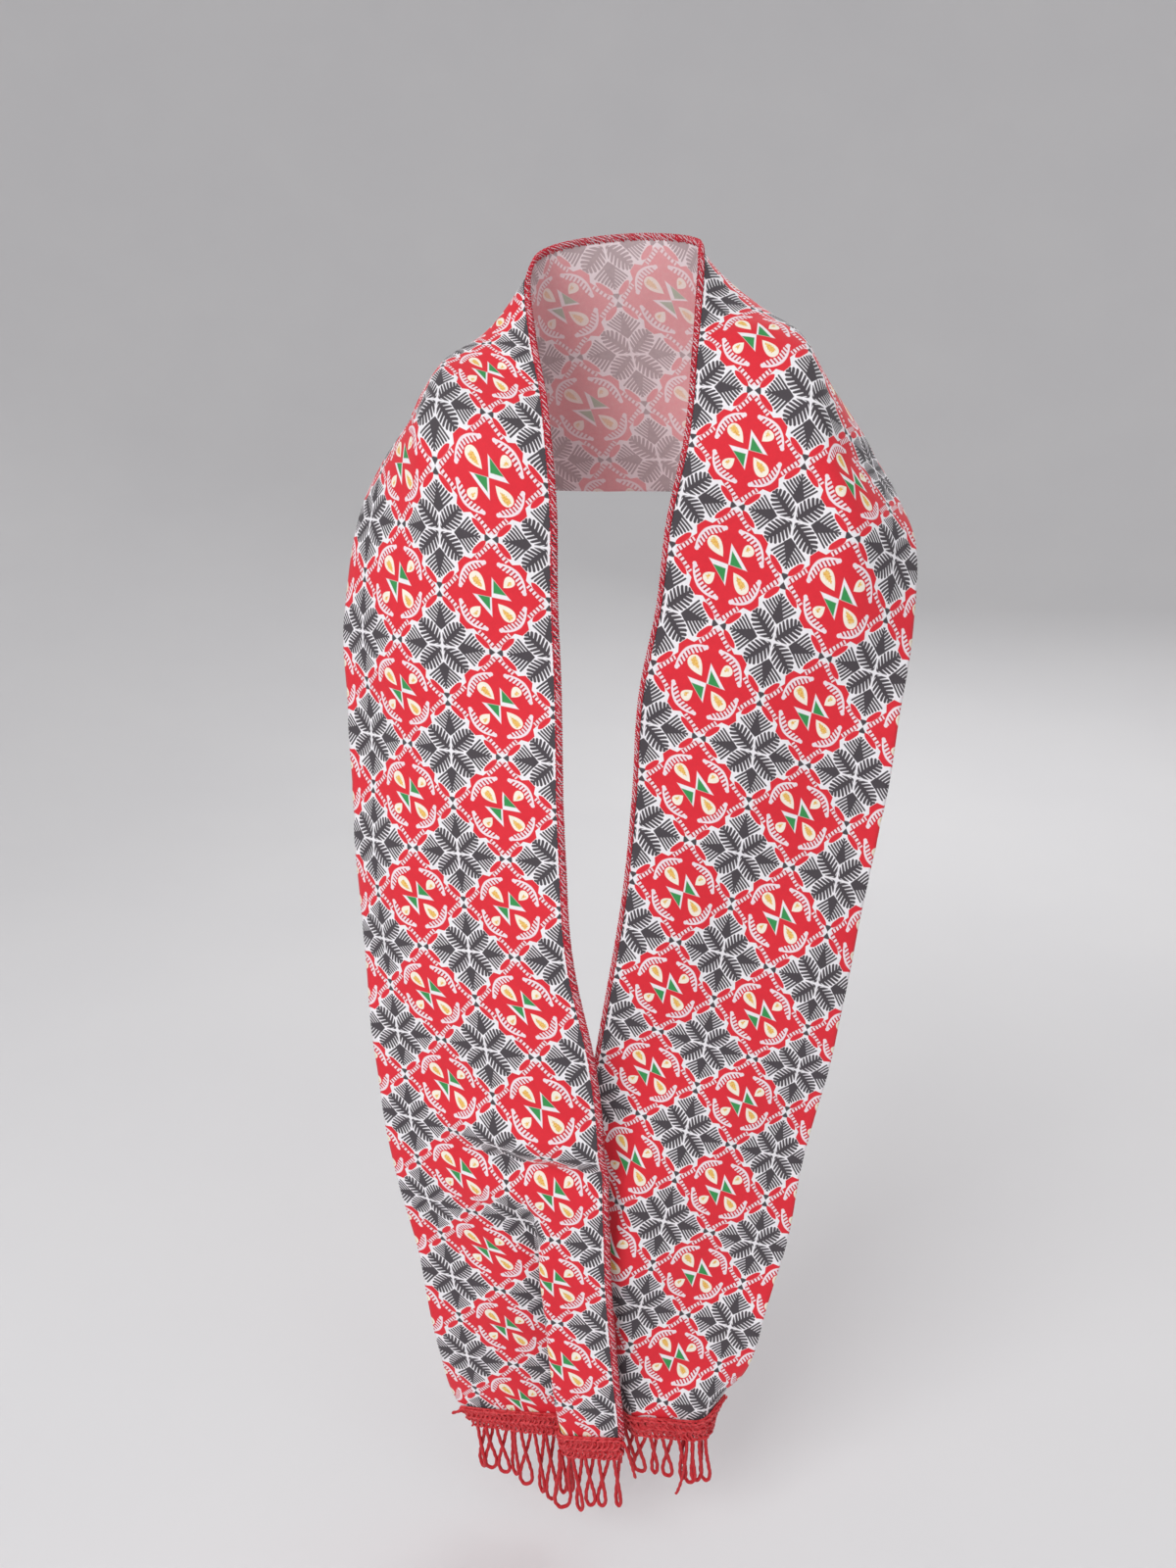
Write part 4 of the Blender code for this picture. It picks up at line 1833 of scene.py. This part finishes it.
@dataclass
class LoopFringe:
    """The looped cords that hang from a trim's head, and its loose ends of yarn.

    In its own plane a loop is x = bulb * swell * sin(pi w) * (1 - w^2)^taper + legs * w^3
    and z = -length * (1 - |w|^roundness), for w from -1 to 1, so most of them cross
    themselves once, a gap apart.
    """

    name: str
    hem: Ribbon
    loops: tuple
    tails: tuple
    steps: int = 110
    swell: float = 1.3
    taper: float = 1.2
    roundness: float = 1.9
    gap: float = 0.0013
    forward: float = 0.02
    foot_up: float = 0.0008
    foot_lift: float = 0.0015
    heading_reach: float = 0.002
    cord: Strand = Strand(0.00112, 3, 0.15, 0.0058, 10)
    tail_steps: int = 48
    tail_yarn: Strand = Strand(0.00092, 2, 0.18, 0.0048, 10)
    tail_upright: tuple = (0.3, -1.0, 0.2)

    def foot(self, across: np.ndarray) -> np.ndarray:
        """The points under the head that the cords hang from."""
        level = np.ones(across.size)
        return self.hem.place(across, self.foot_up * level, self.foot_lift * level)

    def hanging(self) -> tuple:
        """The paths of all the loops at once.

        Returns:
            The paths and their upright directions, each of shape (loops, steps, 3).
        """
        table = np.array(self.loops).T[..., None]
        across, length, legs, bulb, swing = table[:5] * MM
        w = np.linspace(-1, 1, self.steps)[None]
        drop = np.broadcast_to(1 - np.abs(w) ** self.roundness, (len(self.loops), self.steps))
        x = bulb * self.swell * np.sin(np.pi * w) * (1 - w**2) ** self.taper + legs * w**3
        y = self.gap * np.sin(np.pi * w / 2) - self.forward * length * drop
        across = across[:, 0]
        flat = np.zeros(across.size)
        ahead = self.hem.place(across + self.heading_reach, flat, flat)
        ahead = ahead - self.hem.place(across - self.heading_reach, flat, flat)
        heading = np.arctan2(ahead[:, 1], ahead[:, 0])[:, None] + np.radians(table[5])
        level = np.stack([np.cos(heading), np.sin(heading), 0 * heading], -1)
        facing = np.stack([np.sin(heading), -np.cos(heading), 0 * heading], -1)
        path = self.foot(across)[:, None] + x[..., None] * level + y[..., None] * facing
        path = path + np.stack([swing * drop, 0 * drop, -length * drop], -1)
        return path, np.broadcast_to(facing, path.shape)

    def loose_end(self, tail: Tail) -> tuple:
        """The path of a loose end on a smooth curve through its route's points.

        Args:
            tail: the loose end.

        Returns:
            The path and its upright directions, each of shape (1, points, 3).
        """
        route = np.array(tail.route) * MM + self.foot(np.array([tail.across * MM]))
        knots = np.linspace(0, 1, len(route))
        share = np.linspace(0, 1, self.tail_steps)
        curve = np.stack([np.polyval(np.polyfit(knots, axis, 3), share) for axis in route.T], -1)
        upright = np.broadcast_to(np.array(self.tail_upright), curve.shape)
        return curve[None], upright[None]

    def build(self) -> bpy.types.Object:
        """The fringe, with its loose ends.

        Returns:
            Its cords as one mesh.
        """
        mesh = CordMesh(self.name)
        mesh.add(*self.hanging(), self.cord)
        for tail in self.tails:
            mesh.add(*self.loose_end(tail), self.tail_yarn)
        return mesh.finish()


# ---------------------------------------------------------------------------------------
# The studio
# ---------------------------------------------------------------------------------------


class Lamp(NamedTuple):
    """A square area light: its place, its side in metres and its power in watts."""

    name: str
    place: tuple
    side: float
    power: float


@dataclass
class Studio:
    """The pale floor that curves up all round, soft lights and the camera.

    The lights are a broad key from the front, a fill from the right, one behind and a pale
    sky. Camera angles are in degrees, its lens and sensor in millimetres.
    """

    hub_radius: float = 0.02
    floor_height: float = -0.775
    floor_radius: float = 1.6
    floor_rings: int = 12
    cove_radius: float = 2.8
    cove_rings: int = 15
    sectors: int = 96
    wall_height: float = 1.5
    floor_tones: tuple = (linear(222, 221, 223), linear(228, 227, 228))
    floor_cells: float = 3.0
    floor_roughness: float = 0.9
    lamps: tuple = (
        Lamp("key_light", (-0.9, -1.8, 0.9), 1.4, 31),
        Lamp("fill_light", (1.7, -1.2, 0.3), 1.5, 6),
        Lamp("back_light", (0.4, 1.9, 0.9), 1.6, 18),
    )
    lamps_aim: tuple = (0.0, 0.0, -0.35)
    sky_strength: float = 0.55
    camera_place: tuple = (0.102, -0.652, -0.114)
    camera_pitch: float = 75.0
    camera_turn: float = 10.0
    lens: float = 27.0
    sensor: float = 36.0
    sees_from: float = 0.01

    def floor(self) -> bpy.types.Object:
        """A turned surface: a flat disc, then a quarter round up to a short wall.

        Returns:
            The floor, in its own plain finish.
        """
        flat = np.linspace(self.hub_radius, self.floor_radius, self.floor_rings)
        angle = np.linspace(0, np.pi / 2, self.cove_rings + 1)[1:]
        radius = np.concatenate([flat, self.floor_radius + self.cove_radius * np.sin(angle)])
        height = np.concatenate([0 * flat, self.cove_radius * (1 - np.cos(angle))])
        radius = np.append(radius, radius[-1])
        height = np.append(height, height[-1] + self.wall_height)
        around = np.linspace(0, 2 * np.pi, self.sectors + 1)[:-1, None]
        points = np.stack(
            [radius * np.cos(around), radius * np.sin(around), height + 0 * around], -1
        )
        points[..., 2] += self.floor_height
        number = np.arange(points[..., 0].size).reshape(points.shape[:2])
        onward = np.roll(number, -1, axis=0)
        quads = walls(number[:, :-1], number[:, 1:], onward[:, 1:], onward[:, :-1])
        quads = np.vstack([quads, caps(number[:, 0][None])])
        piece = mesh_object("studio_floor", points.reshape(-1, 3), quads, {})
        material, tree, shader = new_material("pale_floor")
        tone = noise(tree, object_place(tree), self.floor_cells)
        colour = blended(tree, tone, *self.floor_tones)
        fill(shader, {"Base Color": colour, "Roughness": self.floor_roughness})
        piece.data.materials.append(material)
        return piece

    def light(self, lamp: Lamp) -> None:
        """Places a light and turns it to the lamps' aim.

        Args:
            lamp: the light.
        """
        data = bpy.data.lights.new(lamp.name, "AREA")
        data.size = lamp.side
        data.energy = lamp.power
        light = bpy.data.objects.new(lamp.name, data)
        across, ahead, up = np.subtract(self.lamps_aim, lamp.place)
        pitch = np.arctan2(np.hypot(across, ahead), -up)
        light.rotation_euler = (pitch, 0, np.arctan2(-across, ahead))
        light.location = lamp.place
        bpy.context.scene.collection.objects.link(light)

    def sky(self) -> None:
        """An even white sky."""
        world = bpy.data.worlds.new("pale_sky")
        world.use_nodes = True
        background = world.node_tree.nodes["Background"]
        fill(background, {"Color": (1, 1, 1, 1), "Strength": self.sky_strength})
        bpy.context.scene.world = world

    def camera(self) -> None:
        """The camera: in front at chest height, a little to the right, looking down."""
        data = bpy.data.cameras.new("camera")
        data.lens = self.lens
        data.sensor_width = self.sensor
        data.clip_start = self.sees_from
        camera = bpy.data.objects.new("camera", data)
        camera.location = self.camera_place
        camera.rotation_euler = np.radians([self.camera_pitch, 0, self.camera_turn])
        bpy.context.scene.collection.objects.link(camera)
        bpy.context.scene.camera = camera

    def build(self) -> None:
        """All of it: the camera, the lights, the sky and the floor, in the plain view transform.
        """
        self.camera()
        for lamp in self.lamps:
            self.light(lamp)
        self.sky()
        self.floor()
        bpy.context.scene.view_settings.view_transform = "Standard"


# ---------------------------------------------------------------------------------------
# The whole
# ---------------------------------------------------------------------------------------


@dataclass
class Scarf:
    """The whole scarf: the strip, its overlock and its two trims."""

    form: ClothForm
    first_seed: int = 21

    def build(self) -> None:
        """Builds and dresses every piece and attaches it to the root."""
        ply = TwistedYarn().group()
        strip = ClothStrip(self.form, Lattice())
        cloth = strip.build()
        strip.dress(cloth, PrintedCotton())
        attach(cloth, "root")
        stretches = (
            "left_end", "left_chest", "left_shoulder", "nape",
            "right_shoulder", "right_chest", "right_end",
        )
        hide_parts(*stretches)
        LOG.info("printed strip: %d quads", len(cloth.data.polygons))

        edge = ribbon_along_edge(self.form)
        finishes = (CRIMSON_OVERLOCK, PALE_OVERLOCK)
        for threads, finish in zip(Overlock(edge).build(), finishes):
            self.declare(threads, finish, ply, "printed_cloth")
        trims = (
            ("left", False, LEFT_LOOPS, LEFT_TAILS),
            ("right", True, RIGHT_LOOPS, RIGHT_TAILS),
        )
        for side, at_end, loops, tails in trims:
            hem = ribbon_along_hem(self.form, at_end)
            head = TrimHead(f"{side}_crocheted_head", hem, self.first_seed + at_end).build()
            fringe = LoopFringe(f"{side}_looped_fringe", hem, loops, tails).build()
            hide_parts(f"{side}_trim_head")
            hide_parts(f"{side}_trim_loops")
            self.declare(head, CROCHET_RED, ply, "trim_head")
            self.declare(fringe, LOOP_CRIMSON, ply, "trim_loops")

    @staticmethod
    def declare(
        piece: bpy.types.Object, finish: YarnFinish, ply: EffectGroup, slot: str
    ) -> bpy.types.Object:
        """Dresses a piece in a yarn's finish and lets it ride with the cloth.

        Args:
            piece: the piece.
            finish: its yarn.
            ply: the twisted yarn's group.
            slot: not used.

        Returns:
            The same piece.
        """
        piece.data.materials.append(finish.material(ply))
        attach(piece, "root")
        LOG.info("%s: %d quads", piece.name, len(piece.data.polygons))
        return piece


def main() -> None:
    """Builds the studio and the scarf."""
    logging.basicConfig(level=logging.INFO, format="%(message)s")
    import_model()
    Studio().build()
    Scarf(ClothForm()).build()


if __name__ == "__main__":
    main()
